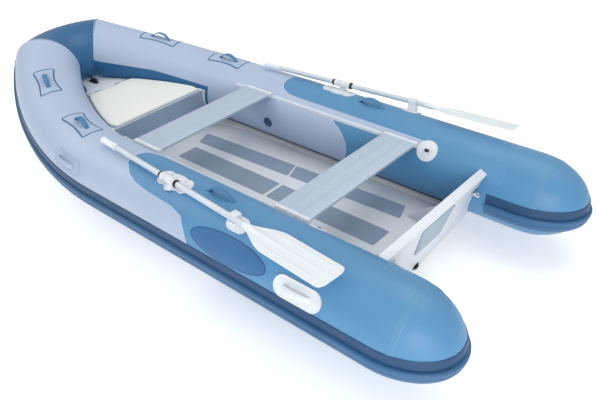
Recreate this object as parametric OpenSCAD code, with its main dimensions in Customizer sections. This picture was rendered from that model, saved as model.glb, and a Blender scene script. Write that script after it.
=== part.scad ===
/* [Tubes] */
// Diameter of the inflated tubes
tube_d = 430; // [380:5:480]
// Distance between the side tubes' centre lines
tube_centres = 1248; // [1150:4:1400]
// Height of the side tubes' centre lines above the keel's underside
tube_z = 308; // [290:1:340]
// Thickness of the tube fabric
fabric_t = 1.2; // [0.9:0.1:2]
// Length of the tapered stern cones
cone_length = 302; // [240:2:360]
// Length of the straight part of a side tube
straight_length = 1887; // [1700:1:2300]
// Bend radius of the side tubes towards the bow
bend_r = 2110; // [1900:10:2400]
// Angle through which a side tube bends
bend_angle = 38.9; // [36:0.1:41]
// Tilt of the bend's plane, which lifts the bow
bend_tilt = 26; // [20:1:30]
// How far the bow tube bulges ahead of its two seams
bow_bulge = 57.5; // [45:0.5:80]
/* [Fender] */
// Top edge of the rub strake above the tube's centre line
strake_top = 38; // [20:1:60]
// Line between the flat strake and the thick fender, from the tube's centre line
strake_low = -14; // [-30:1:5]
// Bottom edge of the fender, from the tube's centre line
fender_low = -98; // [-120:1:-70]
// Thickness of the flat strake
strake_t = 4; // [3:0.5:8]
// Thickness of the fender
fender_t = 20; // [14:1:28]
// Width of the seam band on each stern cone
seam_band_w = 34; // [20:1:50]
/* [Hull and floor] */
// Height of the floor's top face
floor_z = 135; // [120:1:150]
// Sheet thickness of the hull, floor and deck
sheet_t = 3; // [2:0.5:5]
// Width of the keel guard
keel_w = 90; // [50:5:120]
// Height of the bow deck's top face
deck_z = 380; // [360:1:400]
// Distance from the bend's start to the locker's bulkhead
bulkhead_set = 384; // [330:1:440]
// Clearance between the metal hull and the tubes
hull_gap = 3.5; // [3:0.5:8]
// Thickness of the anti-slip pads
pad_t = 2; // [1:0.5:4]
// Width of the middle row of anti-slip pads
pad_mid_w = 150; // [120:1:180]
// Width of the side rows of anti-slip pads
pad_side_w = 120; // [90:1:150]
// Angle at which the side rows of pads fan out
pad_fan = 2.8; // [0:0.1:4]
/* [Transom] */
// Distance from the stern cones' base to the foot of the transom
transom_set = 311; // [280:1:360]
// Rake of the transom
rake = 17; // [10:1:20]
// Thickness of the transom
transom_t = 38; // [30:1:50]
// Height of the transom along its own slope, without its cap
transom_h = 438; // [420:1:450]
// Height of the transom's cap
cap_h = 20; // [14:1:26]
// Radius of the hole in each towing eye
eye_hole_r = 8; // [6:0.5:10]
// Distance of each towing eye from the centre line
eye_y = 372; // [330:1:385]
/* [Seats] */
// Height of the seats' top face
seat_z = 474; // [465:1:485]
// Width of a seat, fore and aft
seat_w = 217; // [180:1:250]
// Depth of a seat's edges
seat_h = 18; // [16:1:24]
// Distance from the bend's start back to the front seat's aft edge
front_seat_set = 188; // [180:1:260]
// Distance from the foot of the transom to the rear seat's aft edge
rear_seat_set = 294; // [260:1:360]
// Angle of the seat track above the tubes' inner side
track_angle = 41; // [40:0.5:42]
// Radius of the track's bead
bead_r = 3; // [2.5:0.25:3.5]
// Clearance of the seat slides on the track
slide_gap = 0.35; // [0.3:0.05:0.6]
/* [Locker] */
// Length of the locker lid
lid_length = 535; // [450:5:560]
// Half of the lid's width at its aft edge
lid_half = 352; // [320:1:360]
// Thickness of the lid's cushion
cushion_t = 16; // [10:1:24]
// Clearance between the lid and the tubes
lid_gap = 12; // [10:1:20]
// Radius of the hinge pin
hinge_pin_r = 3; // [2:0.5:4]
/* [Oars] */
// Overall length of an oar
oar_length = 1730; // [1500:10:1900]
// Radius of an oar's shaft
shaft_r = 15; // [13:0.5:17]
// Height of the stowed oars' centre lines
oar_z = 552; // [550:1:560]
// Distance from the oar's grip end to its swivel
grip_reach = 617; // [560:1:680]
// Length of a blade
blade_length = 540; // [480:5:600]
// Width of a blade
blade_w = 165; // [140:1:180]
// Angle of a stowed oar to the tube
oar_splay = 4.56; // [4:0.02:5]
// Angle by which the starboard blade's outboard edge is turned down
starboard_feather = 14; // [0:1:25]
// Radial clearance of the shaft in its swivel
shaft_fit = 0.05; // [0.03:0.01:0.08]
/* [Fittings] */
// Length of a bow grab handle's patch
handle_length = 290; // [240:5:320]
// Width of a bow grab handle's patch at its ends
handle_w = 150; // [120:2:170]
// Width of the handles' webbing
web_w = 26; // [20:1:40]
// Height of the webbing loops
loop_h = 38; // [30:1:46]
// Length of a moulded lifting handle
lift_length = 258; // [220:2:300]
// Width of a moulded lifting handle
lift_w = 100; // [80:2:120]
// Radius of a valve's flange
valve_r = 34; // [28:1:40]
// Radius of the seat stop discs
disc_r = 60; // [45:1:70]

/* [Hidden] */
$fn = 96;
touch = 0.3;
tube_r = tube_d/2;
tube_y = tube_centres/2;
cut = 900;
seam_gap = 0.02;

// The bend's end, where the bow tube is mitred on
bow_half = tube_y - bend_r*(1 - cos(bend_angle))*cos(bend_tilt);
bow_z = tube_z + bend_r*(1 - cos(bend_angle))*sin(bend_tilt);
bend_run = bend_r*sin(bend_angle);
bow_r = (bow_half*bow_half + bow_bulge*bow_bulge)/(2*bow_bulge);
bow_turn = asin(bow_half/bow_r);
total_length = cone_length + straight_length + bend_run + bow_bulge + tube_r + 2*fender_t;
cone_x = -total_length/2 + fender_t + cone_length;
bend_x = cone_x + straight_length;
bow_cx = bend_x + bend_run + bow_bulge - bow_r;
end_dir = [cos(bend_angle), -sin(bend_angle)*cos(bend_tilt), sin(bend_angle)*sin(bend_tilt)];
mitre = end_dir + [sin(bow_turn), -cos(bow_turn), 0];
mitre_pitch = asin(mitre.z/norm(mitre));
mitre_turn = atan2(mitre.y, mitre.x);

// Tube axis and inner side at a given length along the boat
function bend_at(x) = asin(max(0, min(1, (x - bend_x)/bend_r)));
function axis_y(x) = tube_y - bend_r*(1 - cos(bend_at(x)))*cos(bend_tilt);
function axis_z(x) = tube_z + bend_r*(1 - cos(bend_at(x)))*sin(bend_tilt);
function heading(x) = atan(tan(bend_at(x))*cos(bend_tilt));
function pitch(x) = asin(sin(bend_at(x))*sin(bend_tilt));
function inner_y(x, z, g) = axis_y(x)
  - sqrt(max(0, pow(tube_r + g, 2) - pow((z - axis_z(x))*cos(pitch(x)), 2)))/cos(heading(x));

transom_x = cone_x + transom_set;
function transom_front(z) = transom_x + transom_t/cos(rake) - z*tan(rake) + touch;
bulkhead_x = bend_x + bulkhead_set;
wrap_x = cone_x + 146;
hull_nose_x = bend_x + 1190;
seat_half = 472;
front_seat_x = bend_x - front_seat_set;
rear_seat_x = transom_x + rear_seat_set;
bead_at = tube_r + touch + 1.7 + bead_r;
lid_z = deck_z + touch;
lid_t = 3;
lid_aft_x = bulkhead_x + 5;
lid_fwd_x = lid_aft_x + lid_length;
hinge_z = lid_z + 7;
hinge_x = lid_fwd_x + 9;
swivel_x = bend_x - 581;
swivel_y = 702 - 624 + tube_y;
collar_r = 22;
spigot_r = 8;
clip_run = 495;
clip_y = swivel_y + clip_run*sin(oar_splay);
clip_x = swivel_x - clip_run*cos(oar_splay);
clip_angle = 65;
valve_x = bend_x - 191;
handle_bends = [25.8, 9.5];
handle_angles = [84, 91];
loop_x = bend_x - 861;
patch_t = 1.5;
flap_t = 2;
lift_x = cone_x + 372;
lift_angle = 25;
lift_bend = 5.6;
lift_bow_angle = 28;
bow_valve_bend = 30;
bow_valve_angle = 178;

// Both sides, or one side: 1 is port and -1 is starboard
module both_sides() {
  children();
  mirror([0, 1, 0]) children();
}
module side(s) {
  if (s > 0) children();
  else mirror([0, 1, 0]) children();
}

// Flat sections across a tube, x outboard and y up, seen from its centre
module ring2d(r0, r1) {
  difference() {
    circle(r1);
    circle(r0);
  }
}
module wedge2d(a0, a1) {
  reach = 2*tube_r;
  mid = (a0 + a1)/2;
  polygon([[0, 0], reach*[cos(a0), sin(a0)], 1.2*reach*[cos(mid), sin(mid)],
    reach*[cos(a1), sin(a1)]]);
}
module sector2d(r0, r1, a0, a1) {
  intersection() {
    ring2d(r0, r1);
    wedge2d(a0, a1);
  }
}
module rail2d(t, low, high) {
  intersection() {
    ring2d(tube_r + touch, tube_r + t);
    translate([0, low]) square([tube_r + 2*t, high - low]);
  }
}

// Sweeps of such a section along the straight part, the bend and the bow
module on_straight(x0, x1) {
  translate([x0, tube_y, tube_z]) rotate([90, 0, 90]) linear_extrude(x1 - x0) children();
}
module bend_frame() {
  translate([bend_x, tube_y - bend_r*cos(bend_tilt), tube_z + bend_r*sin(bend_tilt)])
    rotate([180, bend_tilt, 90]) children();
}
module on_bend(a0, a1) {
  bend_frame() rotate([0, 0, a0]) rotate_extrude(angle = a1 - a0, $fn = 360)
    translate([bend_r, 0]) rotate(-bend_tilt) mirror([0, 1]) children();
}
module on_bow(a0, a1) {
  translate([bow_cx, 0, bow_z]) rotate([0, 0, a0]) rotate_extrude(angle = a1 - a0)
    translate([bow_r, 0]) children();
}
module mitre_side(ahead) {
  translate([bend_x + bend_run, bow_half, bow_z]) rotate([0, -mitre_pitch, mitre_turn])
    translate([ahead ? -seam_gap : seam_gap - cut, -cut/2, -cut/2]) cube(cut);
}
module on_mitred_bend() {
  difference() {
    on_bend(0, bend_angle + 3) children();
    mitre_side(true);
  }
}
module on_mitred_bow() {
  difference() {
    on_bow(-bow_turn - 24, bow_turn + 24) children();
    both_sides() mitre_side(false);
  }
}

// Places with x forward along the tube and z pointing out of its skin
module at_straight(x, angle) {
  translate([x, tube_y, tube_z]) rotate([angle - 90, 0, 0]) children();
}
module at_bend(a, angle) {
  bend_frame() rotate([0, 0, a]) translate([bend_r, 0, 0])
    rotate([90 + angle + bend_tilt, 0, 90]) children();
}

// A flat outline laid on the tube's skin
module skin_patch(x, angle, t, reach) {
  intersection() {
    on_straight(x - reach, x + reach) ring2d(tube_r + touch, tube_r + t);
    at_straight(x, angle) linear_extrude(tube_r + 2*t) children();
  }
}
module bend_patch(a, angle, t, spread) {
  intersection() {
    on_bend(a - spread, a + spread) ring2d(tube_r + touch, tube_r + t);
    at_bend(a, angle) linear_extrude(tube_r + 2*t) children();
  }
}
module stadium2d(l, w) {
  square([l - w, w], center = true);
  for (s = [-1, 1]) translate([s*(l - w)/2, 0]) circle(w/2);
}
module rounded2d(l, w, r) {
  square([l - 2*r, w], center = true);
  square([l, w - 2*r], center = true);
  for (sx = [-1, 1], sy = [-1, 1]) translate([sx*(l/2 - r), sy*(w/2 - r)]) circle(r);
}
module ellipse2d(l, w) {
  polygon([for (i = [0:35]) [l/2*cos(10*i), w/2*sin(10*i)]]);
}
module waisted2d(l, w) {
  waist = 0.7*w;
  steps = [for (i = [-6:6]) i/6];
  polygon(concat([for (t = steps) [t*l/2, (waist + (w - waist)*t*t)/2]],
    [for (t = steps) [-t*l/2, -(waist + (w - waist)*t*t)/2]]));
}

// Stern cone and straight tube, as one turned profile about the tube's axis
function cone_points(t) = [for (i = [0:18])
  [(tube_r + t)*sin(5*i), -(cone_length + t)*cos(5*i)]];
function reversed(list) = [for (i = [len(list) - 1:-1:0]) list[i]];
module stern_profile(t0, t1, straight) {
  polygon(concat(cone_points(t1), [[tube_r + t1, straight], [tube_r + t0, straight]],
    reversed(cone_points(t0))));
}
module turned_stern() {
  translate([cone_x, tube_y, tube_z]) rotate([0, 90, 0]) rotate_extrude() children();
}
module side_tube() {
  turned_stern() stern_profile(-fabric_t, 0, straight_length);
}
module side_rail(t, low, high) {
  intersection() {
    turned_stern() stern_profile(touch, t, wrap_x - cone_x);
    translate([cone_x - cut, tube_y - cut/2, tube_z + low]) cube([2*cut, cut, high - low]);
  }
  on_straight(wrap_x, bend_x) rail2d(t, low, high);
  on_mitred_bend() rail2d(t, low, high);
}

module tube_port() color("steelblue") side_tube();
module tube_starboard() color("steelblue") side(-1) side_tube();
module tube_bow() color("royalblue") {
  on_mitred_bow() ring2d(tube_r - fabric_t, tube_r);
  both_sides() on_mitred_bend() ring2d(tube_r - fabric_t, tube_r);
}
module baffles() color("lightsteelblue") both_sides()
  on_straight(bend_x - 6, bend_x - 6 + fabric_t) circle(tube_r - fabric_t - touch);
module stern_seam_bands() color("slategray") both_sides() difference() {
  turned_stern() intersection() {
    stern_profile(touch, patch_t, 0);
    translate([0, -0.38*cone_length]) square([2*tube_r, seam_band_w]);
  }
  translate([cone_x - cut, tube_y - cut/2, tube_z + fender_low - touch])
    cube([2*cut, cut, strake_top - fender_low + 2*touch]);
}
module strake_port() color("navy") side_rail(strake_t, strake_low + touch, strake_top);
module strake_starboard() color("navy") side(-1)
  side_rail(strake_t, strake_low + touch, strake_top);
module strake_bow() color("navy") on_mitred_bow() rail2d(strake_t, strake_low + touch, strake_top);
module fender_port() color("darkblue") side_rail(fender_t, fender_low, strake_low);
module fender_starboard() color("darkblue") side(-1) side_rail(fender_t, fender_low, strake_low);
module fender_bow() color("darkblue") on_mitred_bow() rail2d(fender_t, fender_low, strake_low);
module joint_flap() {
  on_straight(transom_x + 60, bend_x - seam_gap)
    sector2d(tube_r + touch, tube_r + flap_t - flap_ease, flap_low, flap_high);
  on_bend(0, bend_at(bulkhead_x) - 0.2)
    sector2d(tube_r + touch, tube_r + flap_t - flap_ease, flap_low, flap_high);
}
module joint_flap_port() color("midnightblue") joint_flap();
module joint_flap_starboard() color("midnightblue") side(-1) joint_flap();

// Metal hull, floor, bow deck and locker
chine_in = 136;
keel_t = 8;
chine_down = keel_t + sqrt(pow(tube_r + flap_t + touch, 2) - chine_in*chine_in);
keel_lift = 292;
nose_trim = 2;
flap_ease = 0.5;
flap_low = 219;
flap_high = 233;
hull_steps = 16;
deadrise = (tube_z - chine_down)/(tube_y - chine_in);
function keel_rise(x) = x < bend_x ? 0
  : keel_lift*pow((x - bend_x)/(hull_nose_x - bend_x), 1.9);
function chine_y(x) = axis_y(x) - chine_in/cos(heading(x));
function chine_z(x) = axis_z(x) - chine_down/cos(pitch(x));
function keel_z(x) = min(keel_rise(x), chine_z(x) - 6);
function floor_half(x) = (floor_z - 2*sheet_t - keel_t - 1 - keel_z(x))
  *chine_y(x)/(chine_z(x) - keel_z(x));
function hull_row(x, up) = [[x, -chine_y(x) + up, chine_z(x) + up], [x, 0, keel_z(x) + up],
  [x, chine_y(x) - up, chine_z(x) + up]];
module hull_shell() {
  xs = concat([transom_front(0)], [for (i = [0:hull_steps])
    bend_x + i*(hull_nose_x - bend_x)/hull_steps]);
  rows = [for (x = xs) concat(hull_row(x, 0), reversed(hull_row(x, sheet_t)))];
  points = [for (r = rows) each [for (p = r)
    [r == rows[0] ? transom_front(p.z + keel_t) : p.x, p.y, p.z + keel_t]]];
  last = len(rows) - 1;
  ring = len(rows[0]);
  color("gainsboro") difference() {
    polyhedron(points, concat(
      [[for (i = [0:ring - 1]) i]],
      [[for (i = [ring - 1:-1:0]) last*ring + i]],
      [for (j = [0:last - 1], i = [0:ring - 1]) each
        [[(j + 1)*ring + (i + 1)%ring, j*ring + (i + 1)%ring, j*ring + i],
         [(j + 1)*ring + i, (j + 1)*ring + (i + 1)%ring, j*ring + i]]]));
    translate([hull_nose_x - nose_trim, -tube_y, 0]) cube(2*tube_y);
  }
}
module keel_guard() color("darkgray") translate([transom_front(0), 0, 0])
  rotate([90, 0, 90]) linear_extrude(bend_x - transom_front(0) - 30) polygon([[-keel_w/2, 0],
    [keel_w/2, 0], [keel_w/2, keel_t - touch + deadrise*keel_w/2], [0, keel_t - touch],
    [-keel_w/2, keel_t - touch + deadrise*keel_w/2]]);
function edge_points(x0, x1, z, g) = [for (i = [0:12]) let (x = x0 + i*(x1 - x0)/12)
  [x, max(0.1, inner_y(x, z, g))]];
module plate(x0, x1, z, t, g) {
  edge = edge_points(x0, x1, z, g);
  translate([0, 0, z - t]) linear_extrude(t)
    polygon(concat(edge, reversed([for (p = edge) [p.x, -p.y]])));
}
module floor_deck() color("whitesmoke") {
  edge = [for (p = edge_points(transom_front(floor_z - sheet_t), bulkhead_x, floor_z, hull_gap + 2))
    [p.x, min(p.y, floor_half(p.x))]];
  translate([0, 0, floor_z - sheet_t]) linear_extrude(sheet_t)
    polygon(concat(edge, reversed([for (p = edge) [p.x, -p.y]])));
}
module pad(x0, x1, w, slant) {
  r = 10;
  linear_extrude(pad_t) hull() {
    for (s = [-1, 1]) {
      translate([x0 + r + (s + 1)*slant/2, s*(w/2 - r)]) circle(r, $fn = 32);
      translate([x1 - r + (s + 1)*slant/2, s*(w/2 - r)]) circle(r, $fn = 32);
    }
  }
}
pad_rows = [[bend_x - 586, bend_x + 164], [transom_x + 198, bend_x - 611]];
module floor_pads() color("slategray") translate([0, 0, floor_z + touch]) {
  for (p = pad_rows) pad(p[0], p[1], pad_mid_w, 0);
  both_sides() for (p = pad_rows)
    translate([bend_x - 566, 232, 0]) rotate(-pad_fan)
      translate([566 - bend_x, 0, 0]) pad(p[0] + 30, p[1] + 40, pad_side_w, 30);
}
module tube_space(g) {
  on_straight(cone_x, bend_x) circle(tube_r + g);
  on_bend(0, bend_angle - 1) circle(tube_r + g);
}
module bow_bulkhead() color("lightgray") difference() {
  foot = floor_half(bulkhead_x);
  step = chine_y(bulkhead_x) + 10;
  step_z = floor_z + 4 + (step - foot)*(chine_z(bulkhead_x) - keel_z(bulkhead_x))/chine_y(bulkhead_x);
  top = deck_z - sheet_t - touch;
  half = [[foot, floor_z + touch], [step, step_z], [tube_y, step_z], [tube_y, top]];
  translate([bulkhead_x, 0, 0]) rotate([90, 0, 90]) linear_extrude(sheet_t)
    polygon(concat(half, reversed([for (p = half) [-p.x, p.y]])));
  both_sides() tube_space(hull_gap + sheet_t + touch);
}
module hatch2d() {
  rim = 34;
  edge = edge_points(lid_aft_x + rim, lid_fwd_x - 60, deck_z, hull_gap + lid_gap + rim);
  half = lid_half - rim;
  clipped = [for (p = edge) [p.x, min(half, p.y)]];
  polygon(concat(clipped, reversed([for (p = clipped) [p.x, -p.y]])));
}
module bow_deck() color("white") difference() {
  intersection() {
    plate(bulkhead_x, bend_x + 1300, deck_z, sheet_t, hull_gap);
    translate([bow_cx, 0, 0]) union() {
      reach = bow_r - sqrt(pow(tube_r + hull_gap, 2) - pow(deck_z - bow_z, 2));
      cylinder(r = reach, h = 2*deck_z);
      translate([-1500, -tube_y, 0]) cube([1500 + 0.6*reach, 2*tube_y, 2*deck_z]);
    }
  }
  linear_extrude(2*deck_z) hatch2d();
}
module deck_flanges() color("white") intersection() {
  both_sides() on_bend(bend_at(bulkhead_x) + 0.6, 34)
    sector2d(tube_r + hull_gap, tube_r + hull_gap + sheet_t, 150, 229);
  translate([0, -tube_y, 0]) cube([2*tube_y, 2*tube_y, deck_z - sheet_t - touch]);
}
cleat_set = 1122;
module bow_cleat() color("black") translate([bend_x + cleat_set, 0, deck_z]) {
  linear_extrude(5) rounded2d(92, 34, 8);
  for (s = [-1, 1]) translate([s*18, 0, 0]) cylinder(r = 8, h = 20);
  translate([0, 0, 20]) linear_extrude(9) rounded2d(136, 22, 8);
}

// Transom and what is fixed to it, drawn upright and then raked
module raked() {
  translate([transom_x, 0, 0]) rotate([0, -rake, 0]) children();
}
keel_h = 12;
chine_half = 478;
chine_h = 137;
transom_half = 520;
shoulder_h = 160;
drain_h = 60;
eye_h = 372;
eye_t = 4;
eye_w = 52;
eye_r = 18;
eye_out = 24;
module transom_panel() color("white") difference() {
  half = [[chine_half, chine_h], [transom_half, shoulder_h], [transom_half, transom_h]];
  raked() rotate([90, 0, 90]) linear_extrude(transom_t)
    polygon(concat([[0, keel_h]], half, reversed([for (p = half) [-p.x, p.y]])));
  both_sides() tube_space(patch_t + touch);
  raked() translate([-1, 0, drain_h]) rotate([0, 90, 0]) cylinder(r = 14, h = transom_t + 2);
}
module transom_cap() color("white") difference() {
  raked() translate([-5, -transom_half, transom_h]) cube([transom_t + 10, 2*transom_half, cap_h]);
  both_sides() tube_space(patch_t + touch);
}
module motor_pad(low, high, top_half, low_half, t) {
  rotate([90, 0, 90]) linear_extrude(t)
    polygon([[-low_half, low], [low_half, low], [top_half, high], [-top_half, high]]);
}
module motor_pad_outer() color("silver") raked() translate([-8, 0, 0])
  motor_pad(236, transom_h - 8, 142, 110, 8);
module motor_pad_inner() color("silver") raked() translate([transom_t, 0, 0])
  motor_pad(300, transom_h - 8, 120, 100, 6);
knee_run = 200;
knee_top = 330;
knee_y = 260;
module transom_knees() color("white") both_sides() translate([0, knee_y, 0]) rotate([90, 0, 0])
  linear_extrude(6) polygon([[transom_front(floor_z + touch), floor_z + touch],
    [transom_x + knee_run, floor_z + touch], [transom_x + knee_run, floor_z + 14],
    [transom_front(knee_top) + 16, knee_top], [transom_front(knee_top), knee_top]]);
module towing_eyes() color("gainsboro") both_sides() raked() translate([0, eye_y, eye_h]) {
  translate([-eye_t, -eye_w/2, -eye_w/4]) cube([eye_t, eye_w, eye_w/2]);
  translate([-eye_t, 0, -eye_t]) linear_extrude(2*eye_t) difference() {
    union() {
      translate([-eye_out, 0]) circle(eye_r);
      translate([-eye_out, -eye_r]) square([eye_out, 2*eye_r]);
    }
    translate([-eye_out, 0]) circle(eye_hole_r);
  }
}
module drain_socket() color("dimgray") raked() translate([0, 0, drain_h]) rotate([0, 90, 0])
  difference() {
    union() {
      translate([0, 0, -4]) cylinder(r = 24, h = 4);
      translate([0, 0, -4]) cylinder(r = 13.7, h = transom_t + 4);
    }
    translate([0, 0, -5]) cylinder(r = 10, h = transom_t + 10);
  }
module drain_plug() color("black") raked() translate([0, 0, drain_h]) rotate([0, 90, 0]) {
  translate([0, 0, -12]) cylinder(r = 15, h = 7.7);
  translate([0, 0, -5]) cylinder(r = 9.95, h = 34);
}

// Fittings on the tubes
module seat_track() {
  module section() {
    sector2d(tube_r + touch, tube_r + touch + 1.7, 180 - track_angle - 4, 180 - track_angle + 3);
    translate((bead_at - 0.2)*[-cos(track_angle), sin(track_angle)]) circle(bead_r);
  }
  on_straight(rear_seat_x - 4, bend_x - seam_gap) section();
  on_bend(0, 4) section();
}
module seat_track_port() color("lightgray") seat_track();
module seat_track_starboard() color("lightgray") side(-1) seat_track();
module handle_patches() color("lightsteelblue") both_sides() for (i = [0, 1])
  bend_patch(handle_bends[i], handle_angles[i], patch_t, 6) waisted2d(handle_length, handle_w);
module arch(w, l, h, t) {
  r = (l*l/4 + h*h)/(2*h);
  rotate([90, 0, 0]) translate([0, 0, -w/2]) linear_extrude(w) difference() {
    translate([0, h - r]) circle(r);
    translate([0, h - r]) circle(r - t);
    translate([-l, -2*l]) square([2*l, 2*l]);
  }
}
module handle_loops() color("steelblue") both_sides() {
  for (i = [0, 1]) at_bend(handle_bends[i], handle_angles[i])
    translate([0, 0, tube_r + patch_t + 0.5]) arch(web_w, 140, loop_h, 3);
  at_straight(loop_x, 92) translate([0, 0, tube_r + touch]) arch(web_w, 170, loop_h, 3);
}
module lift_handle_grip() {
  translate([0, 0, tube_r - 2]) arch(24, 150, 34, 9);
}
module lift_handles_stern() color("white") both_sides() {
  skin_patch(lift_x, lift_angle, 9, lift_length) stadium2d(lift_length, lift_w);
  difference() {
    at_straight(lift_x, lift_angle) lift_handle_grip();
    on_straight(lift_x - cut/2, lift_x + cut/2) circle(tube_r + 9);
  }
}
module lift_handles_bow() color("lightsteelblue") both_sides() {
  bend_patch(lift_bend, lift_bow_angle, 9, 7) stadium2d(lift_length, lift_w*0.85);
  difference() {
    at_bend(lift_bend, lift_bow_angle) lift_handle_grip();
    on_bend(lift_bend - 7, lift_bend + 7) circle(tube_r + 9);
  }
}
module emblem_patches() color("royalblue") both_sides()
  skin_patch(cone_x + 804, 30, patch_t, 300) ellipse2d(490, 138);
module transom_patches() color("steelblue") both_sides()
  skin_patch(transom_x - 100, 141, patch_t, 200) rounded2d(250, 120, 30);
module seat_stop_discs() color("white") both_sides() difference() {
  skin_patch(rear_seat_x - 66, 140, 5, 100) circle(disc_r);
}
module oarlock_base() {
  difference() {
    union() {
      skin_patch(swivel_x, 79, 7, 200) stadium2d(230, 104);
      difference() {
        translate([swivel_x, swivel_y, tube_z + tube_r - 60])
          cylinder(r = 17, h = oar_z - collar_r - touch - (tube_z + tube_r - 60));
        on_straight(swivel_x - 60, swivel_x + 60) circle(tube_r + 1);
      }
    }
    translate([swivel_x, swivel_y, oar_z - collar_r - 22])
      cylinder(r = spigot_r + shaft_fit, h = 60);
  }
}
module oarlock_base_port() color("white") oarlock_base();
module oarlock_base_starboard() color("white") side(-1) oarlock_base();
module on_oar() {
  translate([swivel_x, swivel_y, oar_z]) rotate([0, -90, -oar_splay]) children();
}
module oarlock_swivel() {
  difference() {
    union() {
      on_oar() translate([0, 0, -55]) cylinder(r = collar_r, h = 110);
      translate([swivel_x, swivel_y, oar_z - collar_r - 17]) cylinder(r = spigot_r, h = 29);
    }
    on_oar() translate([0, 0, -60]) cylinder(r = shaft_r + shaft_fit, h = 120);
  }
}
module oarlock_swivel_port() color("white") oarlock_swivel();
module oarlock_swivel_starboard() color("white") side(-1) oarlock_swivel();
blade_start = oar_length - grip_reach - blade_length;
module oar_shaft() {
  on_oar() {
    translate([0, 0, -grip_reach + 130]) cylinder(r = shaft_r, h = grip_reach - 130 + blade_start);
    for (z = [-58 - 14, 58]) translate([0, 0, z]) cylinder(r = shaft_r + 5, h = 14);
  }
}
module oar_shaft_port() color("white") oar_shaft();
module oar_shaft_starboard() color("white") side(-1) oar_shaft();
module oar_grip() {
  on_oar() translate([0, 0, -grip_reach]) {
    cylinder(r = 17, h = 130);
    cylinder(r = 19, h = 12);
    translate([0, 0, 118]) cylinder(r = 19, h = 12);
  }
}
module oar_grip_port() color("whitesmoke") oar_grip();
module oar_grip_starboard() color("whitesmoke") side(-1) oar_grip();
module oar_blade(feather) {
  root = 34;
  on_oar() rotate([0, 0, feather]) translate([0, 0, blade_start]) {
    rotate([90, 0, 0]) translate([0, 0, -3]) linear_extrude(6) {
      polygon([[-root/2, 0], [root/2, 0], [0.4*blade_w, 90], [blade_w/2, 220],
        [blade_w/2, blade_length - 30], [-blade_w/2, blade_length - 30], [-blade_w/2, 220],
        [-0.4*blade_w, 90]]);
      for (s = [-1, 1]) translate([s*(blade_w/2 - 30), blade_length - 30]) circle(30);
      translate([-blade_w/2 + 30, blade_length - 30]) square([blade_w - 60, 30]);
    }
    cylinder(r = shaft_r - 1, h = 60);
  }
}
module oar_blade_port() color("white") oar_blade(90);
module oar_blade_starboard() color("white") side(-1) oar_blade(90 + starboard_feather);
module oar_clips() color("white") both_sides() {
  skin_patch(clip_x, clip_angle, 7, 120) stadium2d(130, 84);
  difference() {
    translate([clip_x, clip_y, oar_z]) rotate([0, -90, -oar_splay]) translate([0, 0, -22])
      linear_extrude(44) difference() {
        translate([-60, -34]) square([80, 50]);
        circle(shaft_r + touch);
        translate([-shaft_r - touch, 0]) square([2*(shaft_r + touch), 40]);
        translate([-shaft_r - touch, 8]) square([60, 40]);
      }
    on_straight(clip_x - 60, clip_x + 60) circle(tube_r + 7);
  }
}
module valve_frame(which) {
  if (which == "bow") at_bend(bow_valve_bend, bow_valve_angle) children();
  else side(which == "port" ? 1 : -1) at_straight(valve_x, 185) children();
}
module valve_bodies() color("darkslateblue") for (w = ["port", "starboard", "bow"])
  valve_frame(w) translate([0, 0, tube_r + 0.5]) difference() {
    cylinder(r = valve_r, h = 4);
    translate([0, 0, -1]) cylinder(r = 15, h = 10);
  }
module valve_cap(w) {
  valve_frame(w) translate([0, 0, tube_r + 1]) {
    cylinder(r = 14.95, h = 6);
    translate([0, 0, 3.8]) cylinder(r = 22, h = 4);
    translate([-18, -3, 7.8]) cube([36, 6, 5]);
  }
}
module valve_cap_port() color("midnightblue") valve_cap("port");
module valve_cap_starboard() color("midnightblue") valve_cap("starboard");
module valve_cap_bow() color("midnightblue") valve_cap("bow");

// Seats, their slides and the locker lid
module seat(x) {
  difference() {
    translate([x, seat_half, seat_z - seat_h]) rotate([90, 0, 0]) linear_extrude(2*seat_half) {
      translate([0, seat_h - 3]) square([seat_w, 3]);
      for (e = [0, seat_w/3 - 1.5, 2*seat_w/3 - 1.5, seat_w - 3]) translate([e, 0]) square([3, seat_h]);
    }
    both_sides() on_straight(x - 20, x + seat_w + 20) circle(tube_r + 14);
  }
}
module front_seat() color("lightsteelblue") seat(front_seat_x);
module rear_seat() color("lightsteelblue") seat(rear_seat_x);
module seat_slides(x) {
  inset = seat_half - 26;
  bead_y = -bead_at*cos(track_angle);
  bead_z = bead_at*sin(track_angle);
  both_sides() for (e = [4, seat_w/3 + 2.5, 2*seat_w/3 + 2.5])
    on_straight(x + e, x + e + seat_w/3 - 6) difference() {
      translate([inset - tube_y, bead_z - 6])
        square([22, seat_z - 3.2 - tube_z - bead_z + 6]);
      circle(tube_r + touch + 1.7 + slide_gap);
      translate([bead_y, bead_z]) circle(bead_r + slide_gap);
    }
}
module seat_slides_front() color("white") seat_slides(front_seat_x);
module seat_slides_rear() color("white") seat_slides(rear_seat_x);
module lid2d(inset) {
  edge = edge_points(lid_aft_x, lid_fwd_x, lid_z + 10, hull_gap + lid_gap);
  clipped = [for (p = edge) [max(lid_aft_x + inset, min(lid_fwd_x - inset, p.x)),
    min(lid_half, p.y) - inset]];
  polygon(concat(clipped, reversed([for (p = clipped) [p.x, -p.y]])));
}
module hinge_knuckles(inner) {
  for (y = inner ? [-120, 120] : [-160, -80, 80, 160])
    translate([hinge_x, y - 19.8, hinge_z]) rotate([-90, 0, 0]) cylinder(r = 6, h = 39.6);
}
module lid_panel() color("lightgray") difference() {
  union() {
    translate([0, 0, lid_z]) linear_extrude(lid_t) lid2d(0);
    hinge_knuckles(true);
    for (y = [-120, 120]) translate([lid_fwd_x - 30, y - 19.8, lid_z]) cube([39, 39.6, lid_t]);
  }
  translate([hinge_x, -200, hinge_z]) rotate([-90, 0, 0])
    cylinder(r = hinge_pin_r + shaft_fit, h = 400);
}
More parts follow.
